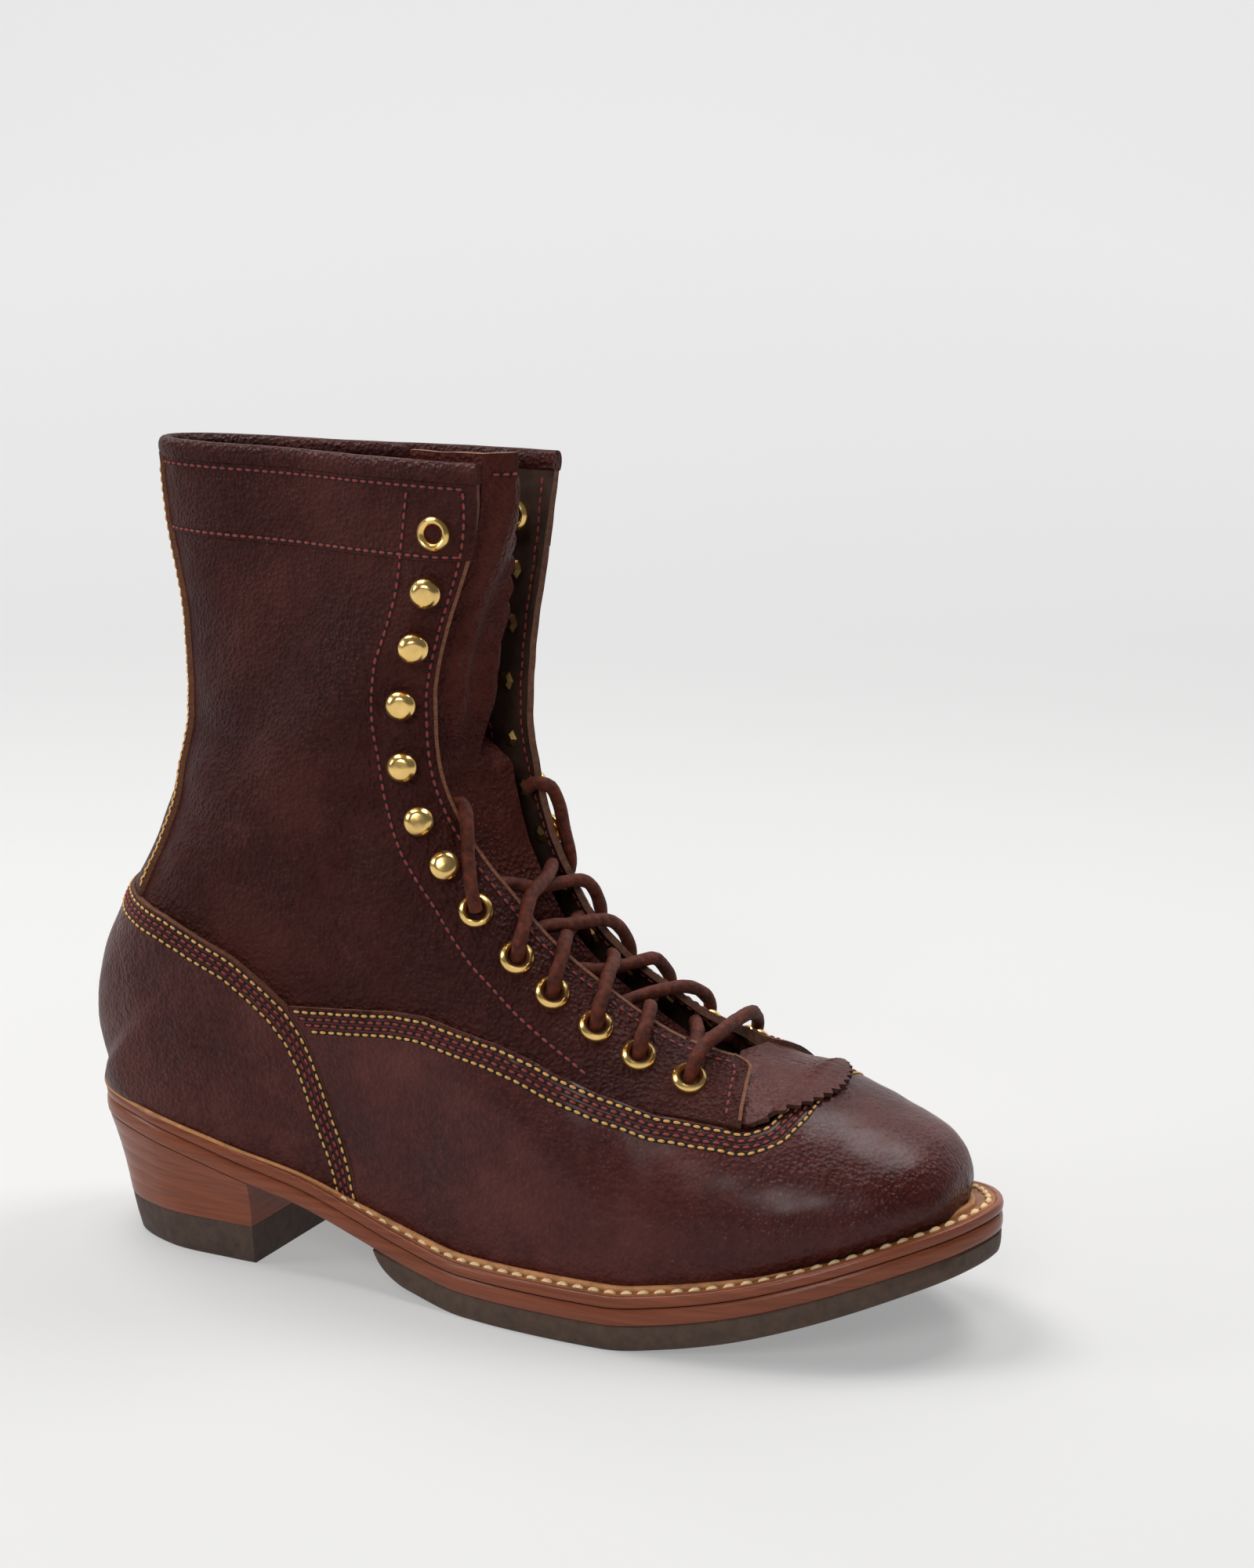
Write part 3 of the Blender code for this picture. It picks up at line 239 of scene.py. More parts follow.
def smooth(at, knots, values):
    """Read a smooth curve through the values at the knots."""
    knots = np.asarray(knots, float)
    values = np.asarray(values, float)
    at = np.clip(np.asarray(at, float), knots[0], knots[-1])
    step = np.diff(knots)
    shape = (-1,) + (1,) * (values.ndim - 1)
    wide = step.reshape(shape)
    rise = np.diff(values, axis=0) / wide
    slope = np.concatenate([rise[:1], rise[1:], rise[-1:]])
    slope[1:-1] = (rise[:-1] * wide[1:] + rise[1:] * wide[:-1]) / (wide[:-1] + wide[1:])
    slope[1:-1][rise[:-1] * rise[1:] <= 0] = 0.0
    k = np.clip(np.searchsorted(knots, at, side="right") - 1, 0, len(step) - 1)
    h = step[k].reshape(np.shape(at) + (1,) * (values.ndim - 1))
    t = ((at - knots[k]) / step[k]).reshape(h.shape)
    return (
        (2 * t**3 - 3 * t**2 + 1) * values[k]
        + (t**3 - 2 * t**2 + t) * h * slope[k]
        + (3 * t**2 - 2 * t**3) * values[k + 1]
        + (t**3 - t**2) * h * slope[k + 1]
    )


def lengths_along(points):
    """Running length at each point of a polyline."""
    return np.concatenate([[0.0], np.cumsum(np.linalg.norm(np.diff(points, axis=0), axis=1))])


def unit(vectors):
    """Vectors of length one."""
    return vectors / np.maximum(np.linalg.norm(vectors, axis=-1, keepdims=True), 1e-12)


def ease(value, low, high):
    """From 0 at low to 1 at high, smoothly."""
    t = np.clip((value - low) / (high - low), 0.0, 1.0)
    return t * t * (3 - 2 * t)


def sole_outline(count, inset=0.0):
    """Closed outline from the toe's tip along the outer side, the same distance inside the sole all round."""
    points = np.array(OUTLINE) * (SOLE_LENGTH, BALL_WIDTH)
    wrapped = np.vstack([points[-3:], points, points[:4]])
    knots = lengths_along(wrapped)
    start, end = knots[3], knots[3 + len(points)]
    ring = smooth(start + (end - start) * np.arange(count) / count, knots, wrapped)
    return inset_ring(ring, inset)


def inset_ring(ring, inset):
    """Move a ring inwards by one distance, or by one for each point."""
    along = unit(np.roll(ring, -1, 0) - np.roll(ring, 1, 0))
    inward = np.stack([-along[:, 1], along[:, 0]], 1)
    x, y = ring.T
    turn = np.sign(np.sum(x * np.roll(y, -1) - np.roll(x, -1) * y))
    return ring + inward * np.reshape(np.broadcast_to(inset, len(ring)), (-1, 1)) * turn


def margin(x):
    """Width of welt that shows outside the upper."""
    share, width = np.array(MARGIN).T
    return smooth(x / SOLE_LENGTH, share, width * BALL_WIDTH)


def feather_ring(count):
    """The line where the upper's outer face meets the welt."""
    ring = sole_outline(count)
    return inset_ring(ring, margin(ring[:, 0]))


def side_y(ring, x, side):
    """The ring's y at x, on one side of the foot."""
    tip = np.argmax(ring[:, 0])
    heel = np.argmin(ring[:, 0])
    step = 1 if side == OUTER else -1
    number = (step * (heel - tip)) % len(ring)
    run = ring[(tip + step * np.arange(number + 1)) % len(ring)][::-1]
    return np.interp(x, run[:, 0], run[:, 1])


def midsole_bottom(x):
    """Height of the midsole's underside."""
    share, heel, toe = np.array(PROFILE).T
    return RUBBER + smooth(x / SOLE_LENGTH, share, heel * HEEL_RISE + toe * TOE_SPRING)


def welt_top(x):
    """Height of the welt's upper face, on which the upper stands."""
    return midsole_bottom(x) + MIDSOLE + GAP + WELT


FINE_RING = sole_outline(1440)
WELT_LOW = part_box("welt")[0]
SHIFT = np.array([WELT_LOW.x - FINE_RING[:, 0].min(), WELT_LOW.y - FINE_RING[:, 1].min(), 0.0])


def pair(outer, inner, scale):
    """A value for each side, from shares of one size."""
    return {OUTER: outer * scale, INNER: inner * scale}


def section_rows():
    """Each section's foot, front edge and widths in metres, from the toe to the collar."""
    seat = welt_top(0.0)
    ring = feather_ring(1440)
    rows = []
    for at, outer, inner, rise, ridge, gap_outer, gap_inner, half_outer, half_inner, widest in FOOT:
        x = min(at * SOLE_LENGTH, ring[:, 0].max())
        base = welt_top(x) + CLEAR
        rows.append({
            "down": (x, base),
            "foot": {s: side_y(ring, x, s) for s in SIDES},
            "front": pair(outer, inner, SOLE_LENGTH),
            "height": base + rise * INSTEP,
            "ridge": ridge * BALL_WIDTH,
            "gap": pair(gap_outer, gap_inner, BALL_WIDTH),
            "half": pair(half_outer, half_inner, BALL_WIDTH),
            "widest": widest,
            "splay": 0.0,
            "pinch": 0.0,
        })
    foot_end = rows[-1]
    for k, (at, back, outer, inner, rise, gap, splay, half_outer, half_inner, pinch) in enumerate(LEG):
        x = at * SOLE_LENGTH
        down = (x, welt_top(x) + CLEAR)
        foot = {s: 0.0 for s in SIDES}
        if back is not None:
            down = (x, seat + back * (SHAFT_TOP - seat))
        elif LEG[k + 1][1] is not None:
            down = (ring[:, 0].min(), down[1])
        else:
            foot = {s: side_y(ring, x, s) for s in SIDES}
        fade = max(0.0, 1 - (k + 1) / EASE_ROWS)
        rows.append({
            "down": down,
            "foot": foot,
            "front": pair(outer, inner, SOLE_LENGTH),
            "height": foot_end["height"] + rise * (SHAFT_TOP - foot_end["height"]),
            "ridge": foot_end["ridge"] * fade,
            "gap": pair(gap, gap, BALL_WIDTH),
            "half": pair(half_outer, half_inner, BALL_WIDTH),
            "widest": LEG_WIDEST + (foot_end["widest"] - LEG_WIDEST) * fade**2,
            "splay": splay * BALL_WIDTH,
            "pinch": pinch * BALL_WIDTH,
        })
    return rows


def section(row, side):
    """One side of a section, from its front edge to its foot or to the back seam."""
    half, gap = row["half"][side], row["gap"][side]
    start = math.asin(min(0.97, gap / half)) if half > 0 else 0.0
    turn = start + (math.pi / 2 - start) * np.linspace(0, 1, FRONT_CELLS + 1)
    depth = row["widest"] * (1 - np.cos(turn))
    across = half * np.sin(turn)
    turn = np.linspace(0, math.pi / 2, BACK_CELLS + 1)[1:]
    end = abs(row["foot"][side])
    depth = np.concatenate([depth, row["widest"] + (1 - row["widest"]) * np.sin(turn) ** (2 / BACK_POWER)])
    across = np.concatenate([across, end + (half - end) * np.cos(turn)])
    depth = (depth - depth[0]) / (1 - depth[0])
    across = across + row["splay"] * (1 - depth) ** SPLAY_FADE
    across = across - row["pinch"] * np.exp(-(((depth - PINCH_AT) / PINCH_SPAN) ** 2))
    x = row["front"][side] + (row["down"][0] - row["front"][side]) * depth
    z = row["height"] + (row["down"][1] - row["height"]) * depth
    y = side * across + row["ridge"] * (1 - depth) ** RIDGE_FADE
    if half == 0:
        y = row["ridge"] + (row["foot"][side] - row["ridge"]) * depth
    return np.stack([x, y, z], 1)


# Soft troughs (below zero) and ridges (above zero), given one by one: side, middle at (share of the length,
# share of the shaft's height), reach along and across, turn in degrees from the length, height
CREASES = (
    (OUTER, (0.345, 0.52), 0.050, 0.0060, 62, -0.0007),
    (OUTER, (0.300, 0.60), 0.045, 0.0070, 75, 0.0005),
    (OUTER, (0.245, 0.50), 0.034, 0.0055, 35, -0.0005),
    (OUTER, (0.190, 0.555), 0.026, 0.0050, 12, -0.0006),
    (OUTER, (0.165, 0.610), 0.022, 0.0050, 4, 0.0005),
    (OUTER, (0.170, 0.660), 0.020, 0.0045, -6, -0.0005),
    (OUTER, (0.420, 0.80), 0.030, 0.0060, 80, 0.0005),
    (OUTER, (0.390, 0.70), 0.030, 0.0070, 78, -0.0005),
    (OUTER, (0.560, 0.205), 0.030, 0.0060, -30, -0.0004),
    (OUTER, (0.660, 0.165), 0.028, 0.0070, -55, -0.0004),
    (OUTER, (0.520, 0.42), 0.040, 0.0060, -48, 0.0004),
    (INNER, (0.345, 0.50), 0.050, 0.0070, 60, -0.0007),
    (INNER, (0.190, 0.56), 0.026, 0.0050, 10, -0.0006),
    (INNER, (0.165, 0.62), 0.022, 0.0050, 0, 0.0005),
    (INNER, (0.560, 0.22), 0.034, 0.0065, -35, -0.0005),
    (INNER, (0.680, 0.17), 0.028, 0.0070, -60, -0.0004),
)


CREASE_DEPTH = 1.7
CREASE_BEND = 0.12


def relief(points):
    """How far the leather stands out at each point: the creases, and a slow unevenness from hand lasting."""
    x, y, z = points.T
    height = 0.00022 * np.sin(x * 190 + z * 70) * np.sin(z * 150 - x * 60 + 1.0)
    height += 0.00012 * np.sin(x * 410 - z * 230 + 2.0) * np.sin(z * 370 + y * 300)
    for side, (at, up), along, across, turn, rise in CREASES:
        turn = math.radians(turn)
        dx, dz = x - at * SOLE_LENGTH, z - up * SHAFT_TOP
        u = dx * math.cos(turn) + dz * math.sin(turn)
        v = dz * math.cos(turn) - dx * math.sin(turn)
        v = v + CREASE_BEND * u**2 / along
        trough = CREASE_DEPTH * rise * np.exp(-((u / along) ** 2) * 2 - (v / across) ** 2)
        height += trough * ease(y * side, -0.004, 0.006)
    return height


class Skin:
    """The upper's outer face as a fine grid: points, outward normals, cells, distances from its borders."""

    def __init__(self):
        rows = section_rows()
        coarse = {s: np.array([section(row, s) for row in rows]) for s in SIDES}
        steps = sum(np.linalg.norm(np.diff(coarse[s], axis=0), axis=2).mean(1) for s in SIDES)
        knots = np.concatenate([[0.0], np.cumsum(steps)])
        closed = max(i for i, row in enumerate(rows) if row["gap"][OUTER] == 0)
        at = np.linspace(0, knots[-1], SECTIONS)
        grids = {s: smooth(at, knots, coarse[s]) for s in SIDES}
        for i in range(SECTIONS):
            if abs(grids[OUTER][i, -1, 1]) < 0.0004 and abs(grids[INNER][i, -1, 1]) < 0.0004:
                middle = (grids[OUTER][i, -1] + grids[INNER][i, -1]) / 2 * [1, 0, 1]
                grids[OUTER][i, -1] = grids[INNER][i, -1] = middle
            if at[i] <= knots[closed]:
                grids[OUTER][i, 0] = grids[INNER][i, 0] = (grids[OUTER][i, 0] + grids[INNER][i, 0]) / 2
        stacked = np.stack([grids[s] for s in SIDES])
        rounded = np.round(stacked.reshape(-1, 3), 7)
        _, first, number = np.unique(rounded, axis=0, return_index=True, return_inverse=True)
        self.number = dict(zip(SIDES, number.reshape(stacked.shape[:3])))
        self.points = stacked.reshape(-1, 3)[first]
        left, right = self.number[OUTER][0], self.number[INNER][0]
        faces = []
        for side in SIDES:
            n = self.number[side]
            quads = np.stack([n[:-1, :-1], n[:-1, 1:], n[1:, 1:], n[1:, :-1]], -1).reshape(-1, 4)
            faces.append(quads if side == INNER else quads[:, ::-1])
        faces.append(np.stack([left[:-1], left[1:], right[1:], right[:-1]], -1))
        self.faces = np.vstack(faces)
        self.normals = point_normals(self.points, self.faces)
        apart = np.linalg.norm(grids[OUTER][:, 0] - grids[INNER][:, 0], axis=1)
        self.open_from = int(np.argmax(apart > 1e-5))
        calm = np.ones(len(self.points))
        self.from_edge, self.from_back, self.from_top, self.up_edge = np.zeros((4, len(self.points)))
        for side in SIDES:
            grid, n = grids[side], self.number[side]
            edge = lengths_along(grid[self.open_from:, 0])
            joined = np.abs(grid[:, -1, 1]) < 1e-6
            for i in range(SECTIONS):
                run = lengths_along(grid[i])
                self.from_edge[n[i]] = run
                self.from_back[n[i]] = run[-1] - run if joined[i] else 1.0
                self.up_edge[n[i]] = edge[max(i - self.open_from, 0)] / edge[-1]
            for j in range(n.shape[1]):
                self.from_top[n[::-1, j]] = lengths_along(grid[::-1, j])
            calm[n[:, -1]] = 0.0
        self.points = self.points + self.normals * (relief(self.points) * calm)[:, None]
        self.normals = point_normals(self.points, self.faces)
        self.vamp = seam_distance(self, VAMP_LINE, INSTEP)
        self.counter = seam_distance(self, COUNTER_LINE, SHAFT_TOP)

    def layer(self, offset):
        """The face moved out along its normals, by one distance or by one for each point, and not below the
        welt's top."""
        moved = self.points + self.normals * np.reshape(offset, (-1, 1))
        floor = welt_top(moved[:, 0]) - 0.4 * CLEAR
        moved[:, 2] = np.maximum(moved[:, 2], floor)
        low = np.concatenate([self.number[s][:, -1] for s in SIDES])
        low = low[self.points[low, 2] < welt_top(self.points[low, 0]) + 2 * CLEAR]
        moved[low, 2] = floor[low]
        return moved

    def edge_spot(self, side, share, inset, offset):
        """A point on a facing, its outward normal and the direction up the edge."""
        n = self.number[side][self.open_from:]
        edge = lengths_along(self.points[n[:, 0]])
        place = np.interp(share * edge[-1], edge, np.arange(len(n)))
        i = min(int(place), len(n) - 2)
        t = place - i
        run = self.points[n[i]] * (1 - t) + self.points[n[i + 1]] * t
        lean = self.normals[n[i]] * (1 - t) + self.normals[n[i + 1]] * t
        along = lengths_along(run)
        point = np.array([np.interp(inset, along, column) for column in run.T])
        normal = unit(np.array([np.interp(inset, along, column) for column in lean.T]))
        if inset < 0:
            point = point + unit(run[0] - run[1]) * -inset
        return point + normal * offset, normal, unit(self.points[n[i + 1]] - self.points[n[i]])[0]


def point_normals(points, faces):
    """Unit normals, the mean of the faces round each point."""
    facing = np.cross(points[faces[:, 2]] - points[faces[:, 0]], points[faces[:, 3]] - points[faces[:, 1]])
    normals = np.zeros_like(points)
    for corner in range(4):
        np.add.at(normals, faces[:, corner], facing)
    return unit(normals)


def contour(skin, field, level, carried=()):
    """Lines on the skin where a field crosses a level: arrays of point, normal and the carried fields."""
    table = np.column_stack([skin.points, skin.normals] + list(carried))
    above = field[skin.faces] > level
    mixed = np.nonzero(above.any(1) & ~above.all(1))[0]
    links, spots = {}, {}
    for face in skin.faces[mixed]:
        ends = []
        for a, b in zip(face, np.roll(face, -1)):
            if (field[a] > level) != (field[b] > level):
                key = (min(a, b), max(a, b))
                w = (level - field[key[0]]) / (field[key[1]] - field[key[0]])
                spots[key] = table[key[0]] * (1 - w) + table[key[1]] * w
                ends.append(key)
        for a, b in zip(ends[::2], ends[1::2]):
            links.setdefault(a, []).append(b)
            links.setdefault(b, []).append(a)
    lines = []
    left = set(links)
    for key in sorted(left, key=lambda k: len(links[k])):
        if key not in left:
            continue
        line = [key]
        left.discard(key)
        while True:
            ahead = [k for k in links[line[-1]] if k in left]
            if not ahead:
                break
            line.append(ahead[0])
            left.discard(ahead[0])
        if len(line) > 2:
            lines.append(np.array([spots[k] for k in line]))
    return lines


def seam_distance(skin, table, scale):
    """Distance along the skin from a seam drawn from the side, above zero under it."""
    corners = np.array(table) * (SOLE_LENGTH, scale)
    rough = np.interp(skin.points[:, 0], *corners.T) - skin.points[:, 2]
    line = np.vstack([run[:, :3] for run in contour(skin, rough, 0.0)])
    nearest = np.full(len(skin.points), np.inf)
    for start in range(0, len(line), 40):
        apart = np.linalg.norm(skin.points[:, None] - line[None, start:start + 40], axis=2)
        nearest = np.minimum(nearest, apart.min(1))
    return np.where(rough > 0, nearest, -nearest)


def clip(table, faces, column):
    """Keep the faces' part where a column of the table is above zero, cutting the cells along the line."""
    values = table[:, column]
    kept, extra, cut = [], [], {}
    for face in faces:
        inside = [values[c] >= 0 for c in face]
        if all(inside):
            kept.append(face)
            continue
        if not any(inside):
            continue
        corners = []
        for k, a in enumerate(face):
            b = face[(k + 1) % len(face)]
            if inside[k]:
                corners.append(a)
            if inside[k] != inside[(k + 1) % len(face)]:
                key = (min(a, b), max(a, b))
                if key not in cut:
                    w = values[key[0]] / (values[key[0]] - values[key[1]])
                    cut[key] = len(table) + len(extra)
                    extra.append(table[key[0]] * (1 - w) + table[key[1]] * w)
                corners.append(cut[key])
        if len(corners) >= 3:
            kept.append(corners)
    return (np.vstack([table, extra]) if extra else table), kept


def patch(skin, name, low, high, keeps, materials):
    """A closed piece between two layers of the skin, cut to where every keep value is above zero. The first
    material is its face, the second its cut edge, the third its back."""
    table = np.hstack([skin.layer(low), skin.layer(high)] + [np.reshape(k, (-1, 1)) for k in keeps])
    faces = [list(dict.fromkeys(face)) for face in skin.faces.tolist()]
    faces = [face for face in faces if len(face) >= 3]
    for k in range(len(keeps)):
        table, faces = clip(table, faces, 6 + k)
    return shell(name, table[:, :3], table[:, 3:6], faces, materials)


def shell(name, low, high, faces, materials):
    """A closed solid between two sets of points with the same faces, walled along the open edges."""
    used = sorted({corner for face in faces for corner in face})
    place = {corner: k for k, corner in enumerate(used)}
    count = len(used)
    solid = [[place[c] for c in face] for face in faces]
    border = {}
    for face in solid:
        for a, b in zip(face, face[1:] + face[:1]):
            border[(a, b)] = (b, a) not in border
            if not border[(a, b)]:
                border[(b, a)] = False
    edges = [edge for edge, lone in border.items() if lone]
    points = np.vstack([high[used], low[used]])
    walls = [[b, a, a + count, b + count] for a, b in edges]
    backs = [[c + count for c in face[::-1]] for face in solid]
    kinds = [0] * len(solid) + [2] * len(backs) + [1] * len(walls)
    return mesh_object(name, points, solid + backs + walls, materials, kinds)


def mesh_object(name, points, faces, materials, kinds=None, crisp=35):
    """A mesh piece that rides on the boot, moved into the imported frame."""
    mesh = bpy.data.meshes.new(name)
    mesh.from_pydata((np.asarray(points) + SHIFT).tolist(), [], [[int(c) for c in face] for face in faces])
    for material in materials:
        mesh.materials.append(material)
    if kinds is not None:
        top = len(materials) - 1
        mesh.polygons.foreach_set("material_index", [min(k, top) for k in kinds])
    mesh.validate()
    mesh.shade_smooth()
    mesh.set_sharp_from_angle(angle=math.radians(crisp))
    thing = bpy.data.objects.new(name, mesh)
    bpy.context.scene.collection.objects.link(thing)
    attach(thing, "root")
    return thing


def dress(piece, slot, *replaced):
    """Hide the solids that a piece replaces. The piece and its slot are not used."""
    if replaced:
        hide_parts(*replaced)


class Pile:
    """Many small pieces gathered into one mesh."""

    def __init__(self):
        self.points = []
        self.faces = []
        self.kinds = []
        self.count = 0

    def add(self, points, faces, kind=0):
        """Add one small piece with its material's number."""
        self.points.append(points)
        self.faces += [[c + self.count for c in face] for face in faces]
        self.kinds += [kind] * len(faces)
        self.count += len(points)

    def build(self, name, materials, crisp=60):
        """The gathered pieces as one object."""
        return mesh_object(name, np.vstack(self.points), self.faces, materials, self.kinds, crisp)


def grid_faces(rows, columns, closed_rows=False, closed_columns=False):
    """Faces of a grid of points, closed on itself one way or both."""
    faces = []
    for i in range(rows if closed_rows else rows - 1):
        for j in range(columns if closed_columns else columns - 1):
            k, m = (i + 1) % rows, (j + 1) % columns
            faces.append([i * columns + j, i * columns + m, k * columns + m, k * columns + j])
    return faces


# A stitch from end to end: place as a share of half its length, and share of its width
CAPSULE = ((-1.0, 0.15), (-0.82, 0.75), (-0.3, 1.0), (0.3, 1.0), (0.82, 0.75), (1.0, 0.15))


def stitches(pile, lines, pitch, thread, kind, sink=0.3):
    """Threads that lie along lines of points and normals, each a small capsule half sunk in the leather."""
    length, width = thread
    around = np.arange(6) * math.pi / 3
    for line in lines:
        along = lengths_along(line[:, :3])
        count = int(along[-1] / pitch)
        if count < 1:
            continue
        middles = (np.arange(count) + 0.5) * along[-1] / count
        ends = np.stack([middles - length / 2, middles, middles + length / 2], 1)
        spots = np.stack([np.interp(ends, along, line[:, c]) for c in range(6)], -1)
        for spot in spots:
            start, middle, end = spot[:, :3]
            normal = unit(spot[1, 3:])
            course = unit(end - start)
            across = np.cross(normal, course)
            reach = np.linalg.norm(end - start) / 2
            rings = []
            for share, size in CAPSULE:
                base = middle + course * share * reach + normal * width * (0.5 - sink - 0.22 * share * share)
                turn = np.outer(np.cos(around), across) + np.outer(np.sin(around), normal) * 0.8
                rings.append(base + turn * size * width / 2)
            caps = [list(range(6))[::-1], list(range(30, 36))]
            pile.add(np.vstack(rings), grid_faces(6, 6, closed_columns=True) + caps, kind)


def ribbon(pile, lines, width, kind, rise=0.00004):
    """A thin flat strip along lines of points and normals."""
    for line in lines:
        if len(line) < 3:
            continue
        point, normal = line[:, :3], unit(line[:, 3:6])
        course = unit(np.gradient(point, axis=0))
        across = np.cross(normal, course) * width / 2
        strip = np.stack([point + across, point - across], 1) + (normal * rise)[:, None]
        pile.add(strip.reshape(-1, 3), grid_faces(len(line), 2), kind)


def raised(line, rise):
    """The line lifted over the leather, by one distance or by one for each of its points."""
    moved = line.copy()
    moved[:, :3] += unit(line[:, 3:6]) * np.reshape(rise, (-1, 1))
    return moved


def runs_where(lines, holds):
    """The runs of the lines where a condition on their columns holds."""
    runs = []
    for line in lines:
        good = holds(line)
        cuts = np.nonzero(np.diff(good.astype(int)))[0] + 1
        for run, flags in zip(np.split(line, cuts), np.split(good, cuts)):
            if flags[0] and len(run) > 2:
                runs.append(run)
    return runs


def sew(pile, lines, rise, kind, width=0.0012):
    """A row of stitches in its groove along each line, lifted over the leather; the groove is a near-black strip
    of painted shade.
    """
    lines = [raised(line, rise) for line in lines]
    # Near-black strip under the stitches: painted shade in their groove
    ribbon(pile, lines, width, GROOVE_SHADE)
    stitches(pile, lines, PITCH, THREAD, kind)


def tube(points, radius, around=10, flat=1.0):
    """Points and faces of a round strand along a smooth line through the points."""
    points = np.array(points)
    along = lengths_along(points)
    count = max(8, int(along[-1] / (radius * 0.55)))
    line = smooth(np.linspace(0, along[-1], count), along, points)
    for _ in range(3):
        line[1:-1] = (line[:-2] + 2 * line[1:-1] + line[2:]) / 4
    course = unit(np.gradient(line, axis=0))
    side = unit(np.cross(course, [0.0, 0.0, 1.0]) + 1e-9)
    for k in range(1, count):
        side[k] = unit(side[k - 1] - course[k] * (side[k - 1] @ course[k]))
    up = np.cross(side, course)
    turn = np.arange(around) * 2 * math.pi / around
    step = np.arange(count)[:, None]
    wobble = 1 + 0.05 * np.sin(step * 0.9) * np.cos(turn * 2 + step * 0.3)
    rings = (line[:, None] + side[:, None] * (np.cos(turn) * wobble)[..., None] * radius
             + up[:, None] * (np.sin(turn) * wobble * flat)[..., None] * radius)
    caps = [list(range(around))[::-1], list(range((count - 1) * around, count * around))]
    faces = grid_faces(count, around, closed_columns=True) + caps
    return rings.reshape(-1, 3), [face[::-1] for face in faces]


def turned(profile, steps, place, across, up, normal):
    """A profile of radius and height pairs turned round the normal at a place."""
    profile = np.array(profile)
    turn = np.arange(steps) * 2 * math.pi / steps
    ring = np.outer(np.cos(turn), across) + np.outer(np.sin(turn), up)
    points = place + profile[:, None, :1] * ring[None] + profile[:, None, 1:] * normal
    faces = grid_faces(len(profile), steps, closed_columns=True)
    if np.cross(across, up) @ normal > 0:
        faces = [face[::-1] for face in faces]
    return points.reshape(-1, 3), faces


# Materials
def material(name, colour, roughness, metallic=0.0):
    """A new material with its shader and node tree."""
    made = bpy.data.materials.new(name)
    made.use_nodes = True
    shader = made.node_tree.nodes["Principled BSDF"]
    shader.inputs["Base Color"].default_value = (*colour, 1.0)
    shader.inputs["Roughness"].default_value = roughness
    shader.inputs["Metallic"].default_value = metallic
    made.diffuse_color = (*colour, 1.0)
    return made, shader, made.node_tree


def node(tree, kind, **values):
    """A new node with its inputs and settings."""
    made = tree.nodes.new(kind)
    for key, value in values.items():
        if hasattr(made, key):
            setattr(made, key, value)
        else:
            made.inputs[key.replace("_", " ")].default_value = value
    return made


def place_of(tree, stretch=(1.0, 1.0, 1.0)):
    """Coordinates of the piece, stretched."""
    where = tree.nodes.new("ShaderNodeTexCoord")
    mapped = tree.nodes.new("ShaderNodeMapping")
    mapped.inputs["Scale"].default_value = stretch
    tree.links.new(where.outputs["Object"], mapped.inputs["Vector"])
    return mapped.outputs["Vector"]


def noise(tree, place, scale, detail=4.0, roughness=0.55):
    """A noise value."""
    made = node(tree, "ShaderNodeTexNoise", Scale=scale, Detail=detail, Roughness=roughness)
    tree.links.new(place, made.inputs["Vector"])
    return made.outputs["Fac"]


def ramp(tree, value, stops):
    """Colours along a value."""
    made = tree.nodes.new("ShaderNodeValToRGB")
    band = made.color_ramp
    while len(band.elements) < len(stops):
        band.elements.new(0.5)
    for element, (at, colour) in zip(band.elements, stops):
        element.position = at
        element.color = (*colour, 1.0)
    tree.links.new(value, made.inputs["Fac"])
    return made.outputs["Color"]


def span(tree, value, low, high, to_low, to_high):
    """A value moved from one range to another."""
    made = node(tree, "ShaderNodeMapRange")
    for key, number in (("From Min", low), ("From Max", high), ("To Min", to_low), ("To Max", to_high)):
        made.inputs[key].default_value = number
    tree.links.new(value, made.inputs["Value"])
    return made.outputs["Result"]


def blend(tree, factor, first, second, kind="MIX"):
    """Two colours mixed."""
    made = tree.nodes.new("ShaderNodeMix")
    made.data_type = "RGBA"
    made.blend_type = kind
    for value, number in ((factor, 0), (first, 6), (second, 7)):
        if isinstance(value, (int, float)):
            made.inputs[number].default_value = value
        elif isinstance(value, tuple):
            made.inputs[number].default_value = (*value, 1.0)
        else:
            tree.links.new(value, made.inputs[number])
    return made.outputs[2]


def bump(tree, shader, layers):
    """Several heights pressed into the surface, one after the other."""
    last = None
    for value, strength, distance in layers:
        made = node(tree, "ShaderNodeBump", Strength=strength, Distance=distance)
        tree.links.new(value, made.inputs["Height"])
        if last:
            tree.links.new(last, made.inputs["Normal"])
        last = made.outputs["Normal"]
    tree.links.new(last, shader.inputs["Normal"])


